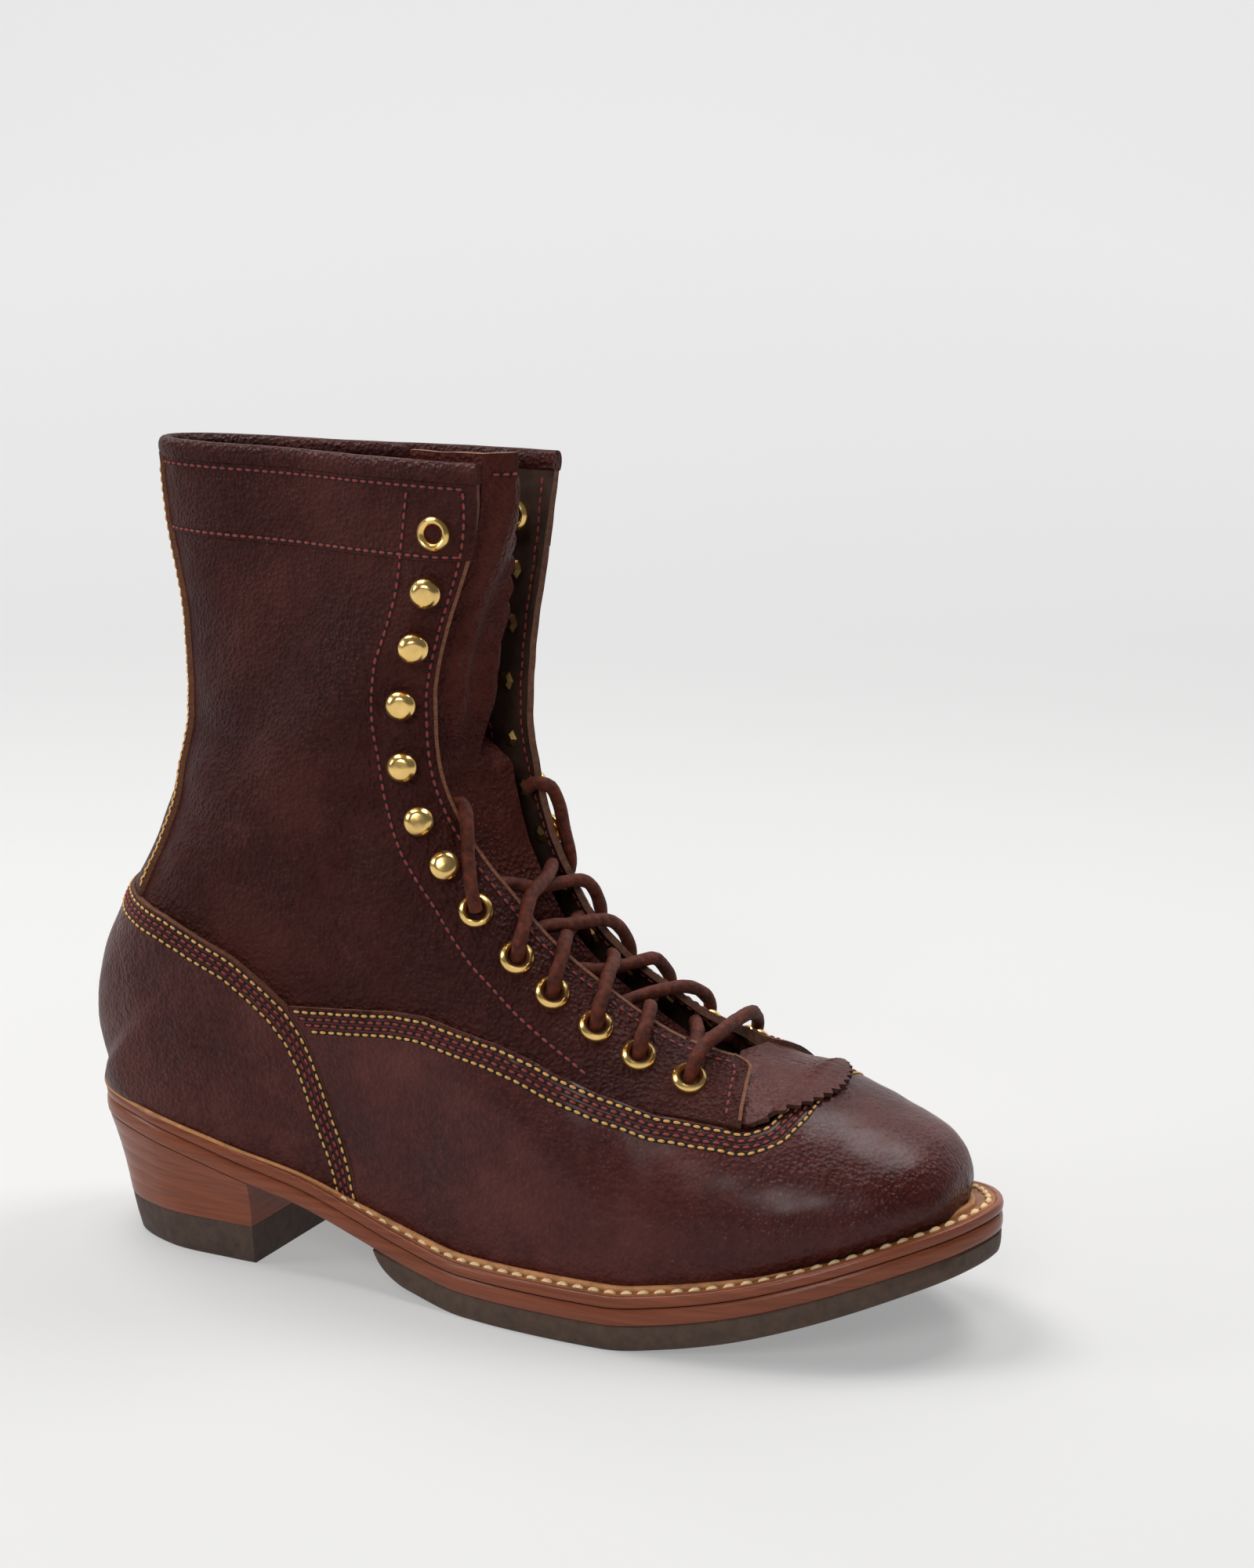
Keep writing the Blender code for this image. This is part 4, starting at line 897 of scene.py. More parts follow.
def leather(name, dark, middle, light, roughness, grain=1.0, coat=0.0, scuffs=0.25):
    """Oiled full-grain leather: cloudy colour, fine pebbled grain, rubbed light spots and a worn gloss."""
    made, shader, tree = material(name, middle, roughness)
    place = place_of(tree)
    clouds = noise(tree, place, 26.0, 4.0, 0.6)
    colour = ramp(tree, clouds, ((0.30, dark), (0.52, middle), (0.74, light)))
    fine = noise(tree, place, 420.0, 3.0, 0.6)
    colour = blend(tree, span(tree, fine, 0.35, 0.75, 0.0, 0.45), colour, light)
    cells = node(tree, "ShaderNodeTexVoronoi", Scale=720.0)
    tree.links.new(place, cells.inputs["Vector"])
    rubbed = noise(tree, place, 75.0, 5.0, 0.7)
    mask = span(tree, rubbed, 0.60, 0.78, 0.0, scuffs)
    rub = tuple(min(1.0, c * 3.2 + 0.02) for c in middle)
    colour = blend(tree, mask, colour, rub)
    tree.links.new(colour, shader.inputs["Base Color"])
    worn = span(tree, noise(tree, place, 60.0, 2.0, 0.6), 0.3, 0.7, roughness - 0.10, roughness + 0.12)
    tree.links.new(worn, shader.inputs["Roughness"])
    shader.inputs["Coat Weight"].default_value = coat
    shader.inputs["Coat Roughness"].default_value = 0.28
    shader.inputs["Specular IOR Level"].default_value = 0.09
    bump(tree, shader, (
        (cells.outputs["Distance"], 0.55 * grain, 0.0008),
        (fine, 0.45 * grain, 0.0009),
        (noise(tree, place, 130.0, 3.0, 0.55), 0.34 * grain, 0.0018),
    ))
    return made


def plain(name, colour, roughness, speckle=0.25, size=500.0, depth=0.0004, stretch=(1, 1, 1), metallic=0.0):
    """A surface of one colour with streaks or specks."""
    made, shader, tree = material(name, colour, roughness, metallic)
    place = place_of(tree, stretch)
    specks = noise(tree, place, size, 5.0, 0.6)
    shader.inputs["Specular IOR Level"].default_value = 0.25
    dark = tuple(c * (1 - speckle) for c in colour)
    light = tuple(min(1.0, c * (1 + speckle)) for c in colour)
    tree.links.new(ramp(tree, specks, ((0.32, dark), (0.68, light))), shader.inputs["Base Color"])
    bump(tree, shader, ((specks, 0.5, depth),))
    return made


SHAFT_LEATHER = leather("shaft_leather", (0.016, 0.0026, 0.0020), (0.029, 0.0050, 0.0038),
                        (0.058, 0.0140, 0.0105), 0.44, grain=1.5)
VAMP_LEATHER = leather("vamp_leather", (0.023, 0.0031, 0.0027), (0.045, 0.0070, 0.0056),
                       (0.088, 0.0195, 0.0155), 0.34, grain=1.2, coat=0.25)
COUNTER_LEATHER = leather("counter_leather", (0.025, 0.0042, 0.0036), (0.047, 0.0094, 0.0078),
                          (0.092, 0.0260, 0.0205), 0.38, grain=1.4, coat=0.10, scuffs=0.32)
TONGUE_LEATHER = leather("tongue_leather", (0.026, 0.0042, 0.0028), (0.046, 0.0082, 0.0054),
                         (0.080, 0.0190, 0.0130), 0.50, grain=1.6)
KILTIE_LEATHER = leather("kiltie_leather", (0.036, 0.0070, 0.0056), (0.064, 0.0150, 0.0120),
                         (0.110, 0.0340, 0.0270), 0.34, coat=0.08, scuffs=0.35)
# Raw edges' own colour; on the strips along the facings' edges it also stands for a painted highlight
RAW_EDGE = plain("raw_edge", (0.150, 0.060, 0.032), 0.75, 0.40, 700.0, 0.0006, (1, 1, 3))
DARK_EDGE = plain("dark_edge", (0.050, 0.020, 0.012), 0.7, 0.4, 700.0, 0.0006)
SOFT_EDGE = plain("soft_edge", (0.105, 0.043, 0.024), 0.7, 0.4, 600.0, 0.0006)
LINING = plain("lining", (0.040, 0.018, 0.011), 0.85, 0.35, 160.0, 0.0012)
WAXED = plain("waxed_edge", (0.182, 0.050, 0.023), 0.32, 0.22, 170.0, 0.0002, (0.2, 0.2, 5.0))
WELT_LEATHER = plain("welt_leather", (0.260, 0.092, 0.030), 0.42, 0.35, 190.0, 0.0005)
# Much lighter than the welt: a painted highlight along the bead
BEAD_HIGHLIGHT_LEATHER = plain("bead_highlight_leather", (0.400, 0.180, 0.070), 0.5, 0.30, 240.0, 0.0005)
RUBBER_DARK = plain("rubber", (0.068, 0.042, 0.030), 0.62, 0.22, 300.0, 0.0004)
LIFT_RUBBER = plain("lift_rubber", (0.062, 0.038, 0.028), 0.62, 0.25, 300.0, 0.0004)
BRASS = plain("brass", (0.830, 0.560, 0.200), 0.24, 0.14, 120.0, 0.0001, metallic=1.0)
OLD_BRASS = plain("old_brass", (0.560, 0.360, 0.130), 0.38, 0.22, 160.0, 0.0002, metallic=1.0)
RAWHIDE = plain("rawhide", (0.078, 0.0145, 0.0060), 0.72, 0.60, 420.0, 0.0014)
LIGHT_THREAD = plain("light_thread", (0.560, 0.300, 0.090), 0.7, 0.25, 1200.0, 0.0003)
RED_THREAD = plain("red_thread", (0.210, 0.034, 0.028), 0.65, 0.3, 1200.0, 0.0003)
CREAM_THREAD = plain("cream_thread", (0.720, 0.520, 0.290), 0.75, 0.25, 1200.0, 0.0003)
# Near-black painted shade for the stitch grooves, the eyelets' bores and the hooks' slits
PAINTED_SHADE = plain("hole", (0.006, 0.003, 0.0025), 0.8, 0.2)


# Camera
def set_camera():
    """The photo's view: turned to the outer side and the toe, looking slightly down."""
    a, e = math.radians(CAMERA_AZIMUTH), math.radians(CAMERA_ELEVATION)
    back = Vector((math.sin(a) * math.cos(e), -math.cos(a) * math.cos(e), math.sin(e)))
    right = Vector((math.cos(a), math.sin(a), 0.0))
    up = back.cross(right)
    turn = Matrix((right, up, back)).transposed() @ Matrix.Rotation(math.radians(CAMERA_ROLL), 3, "Z")
    data = bpy.data.cameras.new("camera")
    data.lens = CAMERA_LENS
    data.sensor_width = 36.0
    data.sensor_fit = "AUTO"
    data.clip_start = 0.05
    data.clip_end = 30.0
    thing = bpy.data.objects.new("camera", data)
    thing.matrix_world = Matrix.Translation(Vector(np.array(CAMERA_PLACE) + SHIFT)) @ turn.to_4x4()
    bpy.context.scene.collection.objects.link(thing)
    bpy.context.scene.camera = thing


# Lamps: name, place, target, width, power and colour
LAMPS = (
    ("key", (-0.50, 0.10, 1.30), (0.0, 0.0, 0.06), 0.7, 15.0, (1.0, 0.985, 0.965)),
    ("top", (0.32, 0.42, 1.05), (0.09, 0.0, 0.06), 0.45, 6.5, (1.0, 0.99, 0.98)),
    ("front", (0.30, -1.45, 1.00), (0.0, 0.0, 0.10), 0.6, 11.0, (1.0, 0.985, 0.97)),
    ("left", (-1.25, -0.65, 0.75), (0.0, 0.0, 0.12), 0.5, 6.0, (1.0, 1.0, 1.0)),
)


def area_light(name, place, target, size, power, colour):
    """A square lamp that faces a point."""
    data = bpy.data.lights.new(name, "AREA")
    data.size = size
    data.energy = power
    data.color = colour
    thing = bpy.data.objects.new(name, data)
    thing.location = place
    thing.rotation_euler = (Vector(target) - Vector(place)).to_track_quat("-Z", "Y").to_euler()
    bpy.context.scene.collection.objects.link(thing)


def set_stage():
    """A pale sweep behind and under the boot, the lamps and a soft surrounding light."""
    a = math.radians(CAMERA_AZIMUTH)
    away = np.array([-math.sin(a), math.cos(a), 0.0])
    side = np.array([math.cos(a), math.sin(a), 0.0])
    turn = np.linspace(0, math.pi / 2, 24)
    profile = [(-4.0, 0.0)] + [(1.4 + 1.0 * math.sin(t), 1.0 - math.cos(t)) for t in turn] + [(2.4, 5.0)]
    points = [away * d + np.array([0, 0, h]) + side * w for d, h in profile for w in (-5.0, 5.0)]
    mesh = bpy.data.meshes.new("backdrop")
    mesh.from_pydata([tuple(p) for p in points], [], grid_faces(len(profile), 2))
    mesh.shade_smooth()
    paper, shader, tree = material("paper", (0.36, 0.36, 0.36), 0.95)
    shader.inputs["Specular IOR Level"].default_value = 0.0
    shader.inputs["Emission Color"].default_value = (1.0, 1.0, 1.0, 1.0)
    where = tree.nodes.new("ShaderNodeTexCoord")
    reach = tree.nodes.new("ShaderNodeVectorMath")
    reach.operation = "LENGTH"
    tree.links.new(where.outputs["Object"], reach.inputs[0])
    glow = span(tree, reach.outputs["Value"], 0.3, 2.2, 0.30, 0.645)
    tree.links.new(glow, shader.inputs["Emission Strength"])
    mesh.materials.append(paper)
    thing = bpy.data.objects.new("backdrop", mesh)
    bpy.context.scene.collection.objects.link(thing)
    for lamp in LAMPS:
        area_light(*lamp)
    world = bpy.data.worlds.new("world")
    bpy.context.scene.world = world
    world.use_nodes = True
    background = world.node_tree.nodes["Background"]
    background.inputs["Color"].default_value = (0.86, 0.88, 0.90, 1.0)
    background.inputs["Strength"].default_value = 0.16
    view = bpy.context.scene.view_settings
    view.view_transform = "Standard"
    view.look = "None"


# The upper and what is sewn on it
def make_upper(skin):
    """The hollow wall with its facings, the vamp, the counter, the strip up the back, the collar's band."""
    height, width = np.array(BACKSTAY_TAPER).T
    strip = smooth(skin.points[:, 2] / SHAFT_TOP, height, width) * BACKSTAY_WIDTH - skin.from_back
    below_top = skin.from_top - 0.004
    above_counter = -skin.counter - 0.0002
    vamp_height = VAMP_TOP - VAMP * (1 - ease(skin.vamp, -0.0005, 0.0003))
    ahead = np.where(skin.from_edge > 0.050, -1.0, flap_front(skin, 0.005, 0.006))
    flap_height = FLAP_BASE + FLAP_RISE * (1 - ease(skin.up_edge, 0.0, FLAP_FADE))
    flap = [-skin.vamp - 0.0012, FLAP_REACH - skin.from_edge, FLAP_FADE - skin.up_edge, ahead]
    band = [BAND_SEAM + 0.0012 - skin.from_top, -strip]
    parts = (
        ("upper_leather_wall", ["upper"], -WALL, 0.0, [], [SHAFT_LEATHER, SOFT_EDGE, LINING]),
        ("vamp_leather", ["vamp"], 0.0, vamp_height, [skin.vamp, above_counter], [VAMP_LEATHER, RAW_EDGE]),
        ("counter_leather", ["counter"], 0.0, COUNTER_TOP, [skin.counter], [COUNTER_LEATHER, RAW_EDGE]),
        ("backstay_leather", ["backstay"], 0.0, BACKSTAY_TOP, [strip, above_counter, below_top],
         [SHAFT_LEATHER, RAW_EDGE]),
        ("facing_flaps", [], 0.0, flap_height, flap, [SHAFT_LEATHER, SOFT_EDGE]),
        ("collar_band", [], 0.0, BAND_TOP, band, [SHAFT_LEATHER, DARK_EDGE]),
    )
    for name, replaced, low, high, keeps, materials in parts:
        dress(patch(skin, name, low, high, keeps, materials), "upper_leather", *replaced)
    make_upper_thread(skin, strip, below_top, ahead)


def make_upper_thread(skin, strip, below_top, ahead):
    """Rows of thread along the seams of the upper, and light strips along the facings' cut edges that give the
    raw edge's colour and a painted highlight.
    """
    thread = Pile()
    for level, kind in SEAM_ROWS:
        rows = contour(skin, skin.vamp, level, [skin.counter])
        sew(thread, runs_where(rows, lambda line: line[:, 6] < -0.0008), VAMP_TOP, kind, 0.0013)
        sew(thread, contour(skin, skin.counter, level), COUNTER_TOP, kind, 0.0013)
    for level in BACKSTAY_ROWS:
        rows = contour(skin, strip, level, [skin.counter, below_top])
        rows = runs_where(rows, lambda line: (line[:, 6] < -0.001) & (line[:, 7] > 0.002))
        sew(thread, rows, BACKSTAY_TOP, LIGHT)
    share, inset = np.array(FACING_ROW).T
    nose = flap_front(skin, 0.003, 0.009)
    inner = skin.from_edge - np.interp(skin.up_edge, share, inset)
    outer = np.minimum(skin.from_edge, nose) - EDGE_ROW
    for field in (inner, outer):
        rows = contour(skin, field, 0.0, [skin.vamp, below_top, skin.up_edge, nose])
        rows = runs_where(rows, lambda line: (line[:, 6] < -0.0035) & (line[:, 7] > 0.003)
                          & (line[:, 9] > EDGE_ROW - 0.0004))
        for row in rows:
            on_band = np.where(row[:, 7] < BAND_SEAM - 0.0028, BAND_TOP, 0.0)
            row[:, :6] = raised(row, on_band + front_rise(row[:, 8]))[:, :6]
        sew(thread, rows, 0.0, RED)
        turned_in = [raised(np.hstack([row[:, :3], -row[:, 3:6]]), WALL + 0.0004) for row in rows]
        stitches(thread, turned_in, PITCH, THREAD, RED)
    for level in (BAND_SEAM, COLLAR_ROW):
        rows = contour(skin, skin.from_top, level, [skin.from_edge, strip])
        rows = runs_where(rows, lambda line: (line[:, 6] > 0.003) & (line[:, 7] < -0.001))
        sew(thread, rows, BAND_TOP, RED, 0.0013)
    # A light strip on the facing along its cut edge: the raw edge's colour and a painted highlight
    rows = contour(skin, skin.from_edge, 0.0006, [skin.up_edge])
    rows = runs_where(rows, lambda line: line[:, 0] < FLAP_END - 0.004)
    ribbon(thread, [raised(row, front_rise(row[:, 6]) + 0.0001) for row in rows], 0.0011, EDGE_AND_HIGHLIGHT)
    # The same light strip along the flaps' front ends: the raw edge's colour and a painted highlight
    rows = contour(skin, ahead, 0.0004, [skin.vamp, skin.up_edge, skin.from_edge])
    rows = runs_where(rows, lambda line: (line[:, 6] < -0.0016) & (line[:, 8] < 0.045))
    ribbon(thread, [raised(row, front_rise(row[:, 7]) + 0.0001) for row in rows], 0.0010, EDGE_AND_HIGHLIGHT)
    dress(thread.build("upper_thread", [LIGHT_THREAD, RED_THREAD, PAINTED_SHADE, RAW_EDGE]), "upper_leather")


def front_rise(up_edge):
    """How high the facing's flap stands at a place up the edge."""
    return np.where(up_edge < FLAP_FADE, FLAP_BASE + FLAP_RISE * (1 - ease(up_edge, 0.0, FLAP_FADE)), 0.0)


def flap_front(skin, round_by, round_from):
    """How far each point lies behind the flap's front end, whose corner at the edge is rounded."""
    corner = round_by * np.clip(1 - skin.from_edge / round_from, 0, 1) ** 2
    return FLAP_END + FLAP_SLOPE * skin.from_edge - skin.points[:, 0] - corner


# The collar's roll in cross-section: distance out of the leather and above its top
COLLAR_ROLL = (
    (0.0001, -0.0052), (0.0010, -0.0050), (0.0014, -0.0040), (0.0016, -0.0026), (0.0015, -0.0012),
    (0.0010, 0.0000), (0.0002, 0.0007), (-0.0010, 0.0009), (-0.0022, 0.0006), (-0.0031, -0.0004),
    (-0.0035, -0.0018), (-0.0034, -0.0034), (-0.0030, -0.0048), (-0.0020, -0.0050),
)


def make_collar(skin):
    """The rolled binding over the collar's edge."""
    columns = [(OUTER, j) for j in range(skin.number[OUTER].shape[1])]
    columns += [(INNER, j) for j in range(skin.number[INNER].shape[1] - 2, -1, -1)]
    top = np.array([skin.points[skin.number[s][-1, j]] for s, j in columns])
    lean = unit(np.array([skin.normals[skin.number[s][-1, j]] for s, j in columns]))
    below = np.array([skin.points[skin.number[s][-4, j]] for s, j in columns])
    up = unit(top - below)
    rings = []
    for out, rise in COLLAR_ROLL:
        rings.append(top + lean * out + up * rise)
    points = np.stack(rings, 1)
    count, across = points.shape[:2]
    caps = [list(range(across)), list(range((count - 1) * across, count * across))[::-1]]
    faces = grid_faces(count, across, closed_columns=True)
    piece = mesh_object("collar_roll", points.reshape(-1, 3), faces + caps, [SHAFT_LEATHER], crisp=50)
    dress(piece, "upper_leather", "collar_binding")


# Tongue: thickness, width under each facing, how far its far side falls back into the boot, how much narrower it
# gets there, and the width of the fold
TONGUE = 0.0024
TONGUE_WING = 0.024
TONGUE_FALL = 0.026
TONGUE_PULL = 0.10
TONGUE_FOLD = 0.16


def tongue_row(skin, row, share, back):
    """One row across the tongue, at a share of its height, with its leather from one facing to the other."""
    depth = WALL + 0.0016 + (LACE + 0.0006) * (1 - ease(share, 0.46, 0.58)) + back
    wing = np.linspace(TONGUE_WING, 0.0, 9)
    t = np.linspace(0, 1, 17)[1:-1]
    ends = []
    for side in SIDES:
        run = skin.points[skin.number[side][row]] - skin.normals[skin.number[side][row]] * depth
        along = lengths_along(run)
        ends.append(np.stack([np.interp(wing, along, column) for column in run.T], -1))
    near, far = ends[0], ends[1][::-1]
    chord = far[0] - near[-1]
    before = skin.points[skin.number[OUTER][max(row - 2, skin.open_from), 0]]
    after = skin.points[skin.number[OUTER][min(row + 2, SECTIONS - 1), 0]]
    forward = unit(-np.cross(after - before, [0.0, 1.0, 0.0]))
    lift = 0.009 * ease(share, 0.45, 1.0) - 0.0035 * (1 - ease(share, 0.3, 0.55))
    fall = ease(share, 0.44, 0.58)
    turn_at = 0.22 + 0.40 * (1 - ease(share, 0.60, 1.0))
    folded = ease(t, turn_at, turn_at + TONGUE_FOLD)
    arch = 4 * t * (1 - t) * lift - TONGUE_FALL * fall * folded
    arch -= 0.0022 * fall * np.exp(-((t / 0.05) ** 2))
    arch += 0.0012 * fall * np.sin(t * 19 + share * 5)
    pull = TONGUE_PULL * fall * ease(t, turn_at + 0.05, 1.0)
    down = np.array([0.0, 0.0, -0.008]) * ease(share, 0.85, 1.0)
    arc = near[-1] + chord * (t - pull)[:, None] + forward * arch[:, None] + down * folded[:, None]
    far = far - forward * TONGUE_FALL * fall - chord * TONGUE_PULL * fall + down
    return np.vstack([near, arc, far])


def make_tongue(skin):
    """The tongue behind the facings, low where the lace passes and bulging forward between them higher up."""
    rows = range(skin.open_from, SECTIONS)
    shapes = []
    for back in (0.0, TONGUE):
        grid = [tongue_row(skin, row, i / (len(rows) - 1), back) for i, row in enumerate(rows)]
        grid += [grid[-1] + [0.0, 0.0, step] for step in (0.0015, 0.0032)]
        shapes.append(np.array(grid))
    face, inside = shapes
    count, across = face.shape[:2]
    faces = grid_faces(count, across)
    piece = shell("tongue_leather", inside.reshape(-1, 3), face.reshape(-1, 3), faces,
                  [TONGUE_LEATHER, RAW_EDGE, LINING])
    dress(piece, "upper_leather", "tongue")
    pile = Pile()
    lean = point_normals(face.reshape(-1, 3), np.array(faces)).reshape(face.shape)
    line = np.hstack([face[count - 7], lean[count - 7]])[9:19]
    # Near-black strip under the stitches: painted shade in their groove
    ribbon(pile, [line], 0.0012, 1)
    stitches(pile, [line], PITCH, THREAD, 0)
    dress(pile.build("tongue_thread", [RED_THREAD, PAINTED_SHADE]), "upper_leather")


# Pinked flap: front at its middle and at its corners, half width, middle line, back edge, teeth, the grid that it
# is made on, and the height above which it rests on the vamp
KILTIE_TIP = 0.838 * SOLE_LENGTH
KILTIE_CORNER = 0.788 * SOLE_LENGTH
KILTIE_HALF = 0.262 * BALL_WIDTH
KILTIE_MIDDLE = 0.020 * BALL_WIDTH
KILTIE_BACK = FLAP_END - 0.006
TOOTH = 0.0009
TOOTH_COLUMNS = 4.5
KILTIE_GRID = (141, 16)
KILTIE_ABOVE = 0.045


def make_kiltie(skin):
    """The pinked flap on the vamp in front of the throat, its sides under the facings."""
    base = skin.layer(0.0002 + (VAMP + 0.0002) * ease(skin.vamp, -0.0012, 0.0012))
    tree = BVHTree.FromPolygons(base.tolist(), [list(dict.fromkeys(f)) for f in skin.faces.tolist()])
    across, along = KILTIE_GRID
    spots = np.full((across, along, 6), np.nan)
    for i, t in enumerate(np.linspace(-1, 1, across)):
        tooth = TOOTH * (1 - abs((i / TOOTH_COLUMNS) % 2 - 1) * 2)
        front = KILTIE_TIP - t * t * (KILTIE_TIP - KILTIE_CORNER) + tooth
        back = KILTIE_BACK + 0.30 * abs(t) * KILTIE_HALF
        for j, share in enumerate(np.linspace(0, 1, along)):
            x, y = back + (front - back) * share, KILTIE_MIDDLE + t * KILTIE_HALF
            spots[i, j, :2] = x, y
            spot, normal, _, _ = tree.ray_cast(Vector((x, y, 0.3)), Vector((0, 0, -1)))
            if spot is not None and spot.z > KILTIE_ABOVE:
                spots[i, j, 2:] = spot.z, *normal
    for j in range(along):
        good = ~np.isnan(spots[:, j, 2])
        for c in range(2, 6):
            spots[:, j, c] = np.interp(np.arange(across), np.nonzero(good)[0], spots[good, j, c])
    lean = unit(spots[..., 3:])
    t, share = np.meshgrid(np.linspace(-1, 1, across), np.linspace(0, 1, along), indexing="ij")
    rise = 0.0002 + 0.0008 * share**3 + 0.0003 * np.sin(t * 5.0) * share**2
    low = spots[..., :3] + lean * rise[..., None]
    high = low + lean * (0.0005 + 0.0009 * ease(share, 0.2, 0.8))[..., None]
    piece = shell("kiltie_leather", low.reshape(-1, 3), high.reshape(-1, 3), grid_faces(across, along),
                  [KILTIE_LEATHER, DARK_EDGE, LINING])
    dress(piece, "upper_leather", "kiltie")


# Hardware and lace
def around_hole(skin, side, share, rise):
    """A hole in a facing: its place on both faces of the leather, and its directions across, up and out."""
    place, normal, up = skin.edge_spot(side, share, EDGE_TO_HOLE, rise)
    back = skin.edge_spot(side, share, EDGE_TO_HOLE, -WALL)[0]
    across = unit(np.cross(up, normal))
    return place, back, across, np.cross(normal, across), normal


def make_hardware(skin):
    """Rolled eyelets, speed hooks, and the clinched backs inside the facings, with painted shade in bores and
    slits.
    """
    eyelets, hooks, backs = Pile(), Pile(), Pile()
    rim, bore, top = EYELET_RIM / 2, EYELET_BORE / 2, EYELET_HEIGHT
    ring = [(bore * 0.96, -0.0015), (bore * 0.98, 0.0005), (bore * 1.10, 0.0012), (bore * 1.35, top + 0.0004),
            ((rim + bore) / 2, top + 0.0006), (rim * 0.90, top), (rim, 0.0004), (rim * 0.99, -0.0004)]
    # A near-black disc across each bore: painted shade in the hole
    bore_shade = [(0.0, 0.0), (bore, 0.0)]
    clinch = [(bore, 0.0008), (bore * 1.3, 0.0011), (rim * 0.75, 0.0004), (rim * 0.78, -0.0003)]
    r, h = HOOK_DOME / 2, HOOK_HEIGHT
    dome = [(0.0, h), (r * 0.45, h * 0.985), (r * 0.66, h * 0.95), (r * 0.72, h * 0.90), (r * 0.90, h * 0.78),
            (r, h * 0.60), (r * 0.99, h * 0.46), (r * 0.90, h * 0.40), (r * 0.55, h * 0.38),
            (r * 0.52, 0.0004), (r * 0.80, 0.0003), (r * 0.82, -0.0003)]
    star = [(0.0, 0.0012), (r * 0.35, 0.0012), (r * 0.7, 0.0003), (r * 0.72, -0.0003)]
    for side in SIDES:
        for share in LOW_EYELETS + (TOP_EYELET,):
            rise = float(front_rise(share)) + 0.0001
            place, back, across, up, normal = around_hole(skin, side, share, rise)
            eyelets.add(*turned(ring, 32, place, across, up, normal), 0)
            eyelets.add(*turned(bore_shade, 24, place - normal * 0.0001, across, up, normal), 1)
            if share == TOP_EYELET:
                eyelets.add(*turned(ring, 32, back, across, up, -normal), 0)
                eyelets.add(*turned(bore_shade, 24, back - normal * 0.0002, across, up, -normal), 1)
            else:
                backs.add(*turned(clinch, 8, back, across, up, -normal), 0)
        for share in HOOKS:
            place, back, across, up, normal = around_hole(skin, side, share, 0.0002)
            hooks.add(*turned(dome, 32, place, across, up, normal), 0)
            # A near-black patch in each hook's slit: painted shade in its mouth
            slit_shade = [place + up * u + normal * (h * (0.92 - 0.22 * v) + 0.00025)
                    - side * across * (r * (0.34 + 0.50 * v))
                    for u, v in ((-0.0011, 0.0), (0.0011, 0.0), (0.0011, 1.0), (-0.0011, 1.0))]
            hooks.add(np.array(slit_shade), [[3, 2, 1, 0] if side == OUTER else [0, 1, 2, 3]], 1)
            backs.add(*turned(star, 6, back, across, up, -normal), 0)
    names = [f"eyelet_{word}_{k}" for word in ("outer", "inner") for k in range(1, 8)]
    dress(eyelets.build("eyelet_rims", [BRASS, PAINTED_SHADE], 50), "brass", *names)
    names = [f"hook_{word}_{k}" for word in ("outer", "inner") for k in range(1, 7)]
    dress(hooks.build("hook_domes", [BRASS, PAINTED_SHADE], 40), "brass", *names)
    dress(backs.build("clinched_backs", [OLD_BRASS], 30), "brass")


def route(skin, side, stops):
    """Points on a facing, each from a share of its edge, a distance from the edge as a share of that of the
    holes, and a height over the leather."""
    return [skin.edge_spot(side, share, inset * EDGE_TO_HOLE, rise)[0] for share, inset, rise in stops]


def make_lace(skin):
    """The criss-cross through the low eyelets: out of each hole, over the near edge and under the far one."""
    pile = Pile()
    under = -WALL - LACE / 2 - 0.0004
    thick = LACE / 2 * 1.04
    low = LOW_EYELETS[0]
    stops = ((low, 1.0, -0.001), (low, 0.85, 0.0042), (low, 0.4, 0.0056), (low * 0.95, 0.0, 0.0056))
    near, far = route(skin, OUTER, stops), route(skin, INNER, stops)[::-1]
    middle = (near[-1] + far[0]) / 2 + [0.0, 0.0, 0.0006]
    pile.add(*tube(near + [middle] + far, thick, flat=0.92))
    for k, (here, ahead) in enumerate(zip(LOW_EYELETS[:-1], LOW_EYELETS[1:])):
        step = ahead - here
        first = ((here, 1.0, -0.001), (here + step * 0.05, 0.85, 0.0034), (here + step * 0.12, 0.45, 0.0040),
                 (here + step * 0.22, 0.0, 0.0030))
        if k == 0:
            first = ((here, 1.0, under), (here + step * 0.12, 0.5, under), (here + step * 0.2, 0.0, under))
        last = ((ahead - step * 0.22, 0.0, under), (ahead - step * 0.1, 0.5, under),
                (ahead, 1.0, under + 0.0008))
        up = skin.edge_spot(OUTER, (here + ahead) / 2, 0.0, 0.0)[2]
        forward = unit(np.array([up[2], 0.0, -up[0]]))
        for side in SIDES:
            start, end = route(skin, side, first), route(skin, -side, last)
            lift = 0.0023 if (side == OUTER) == (k % 2 == 0) else -0.0021
            middle = (start[-1] + end[0]) / 2 + forward * lift
            pile.add(*tube(start + [middle] + end, thick, flat=0.92))
    dress(pile.build("lace_crossings", [RAWHIDE], 60), "lace", "laces")


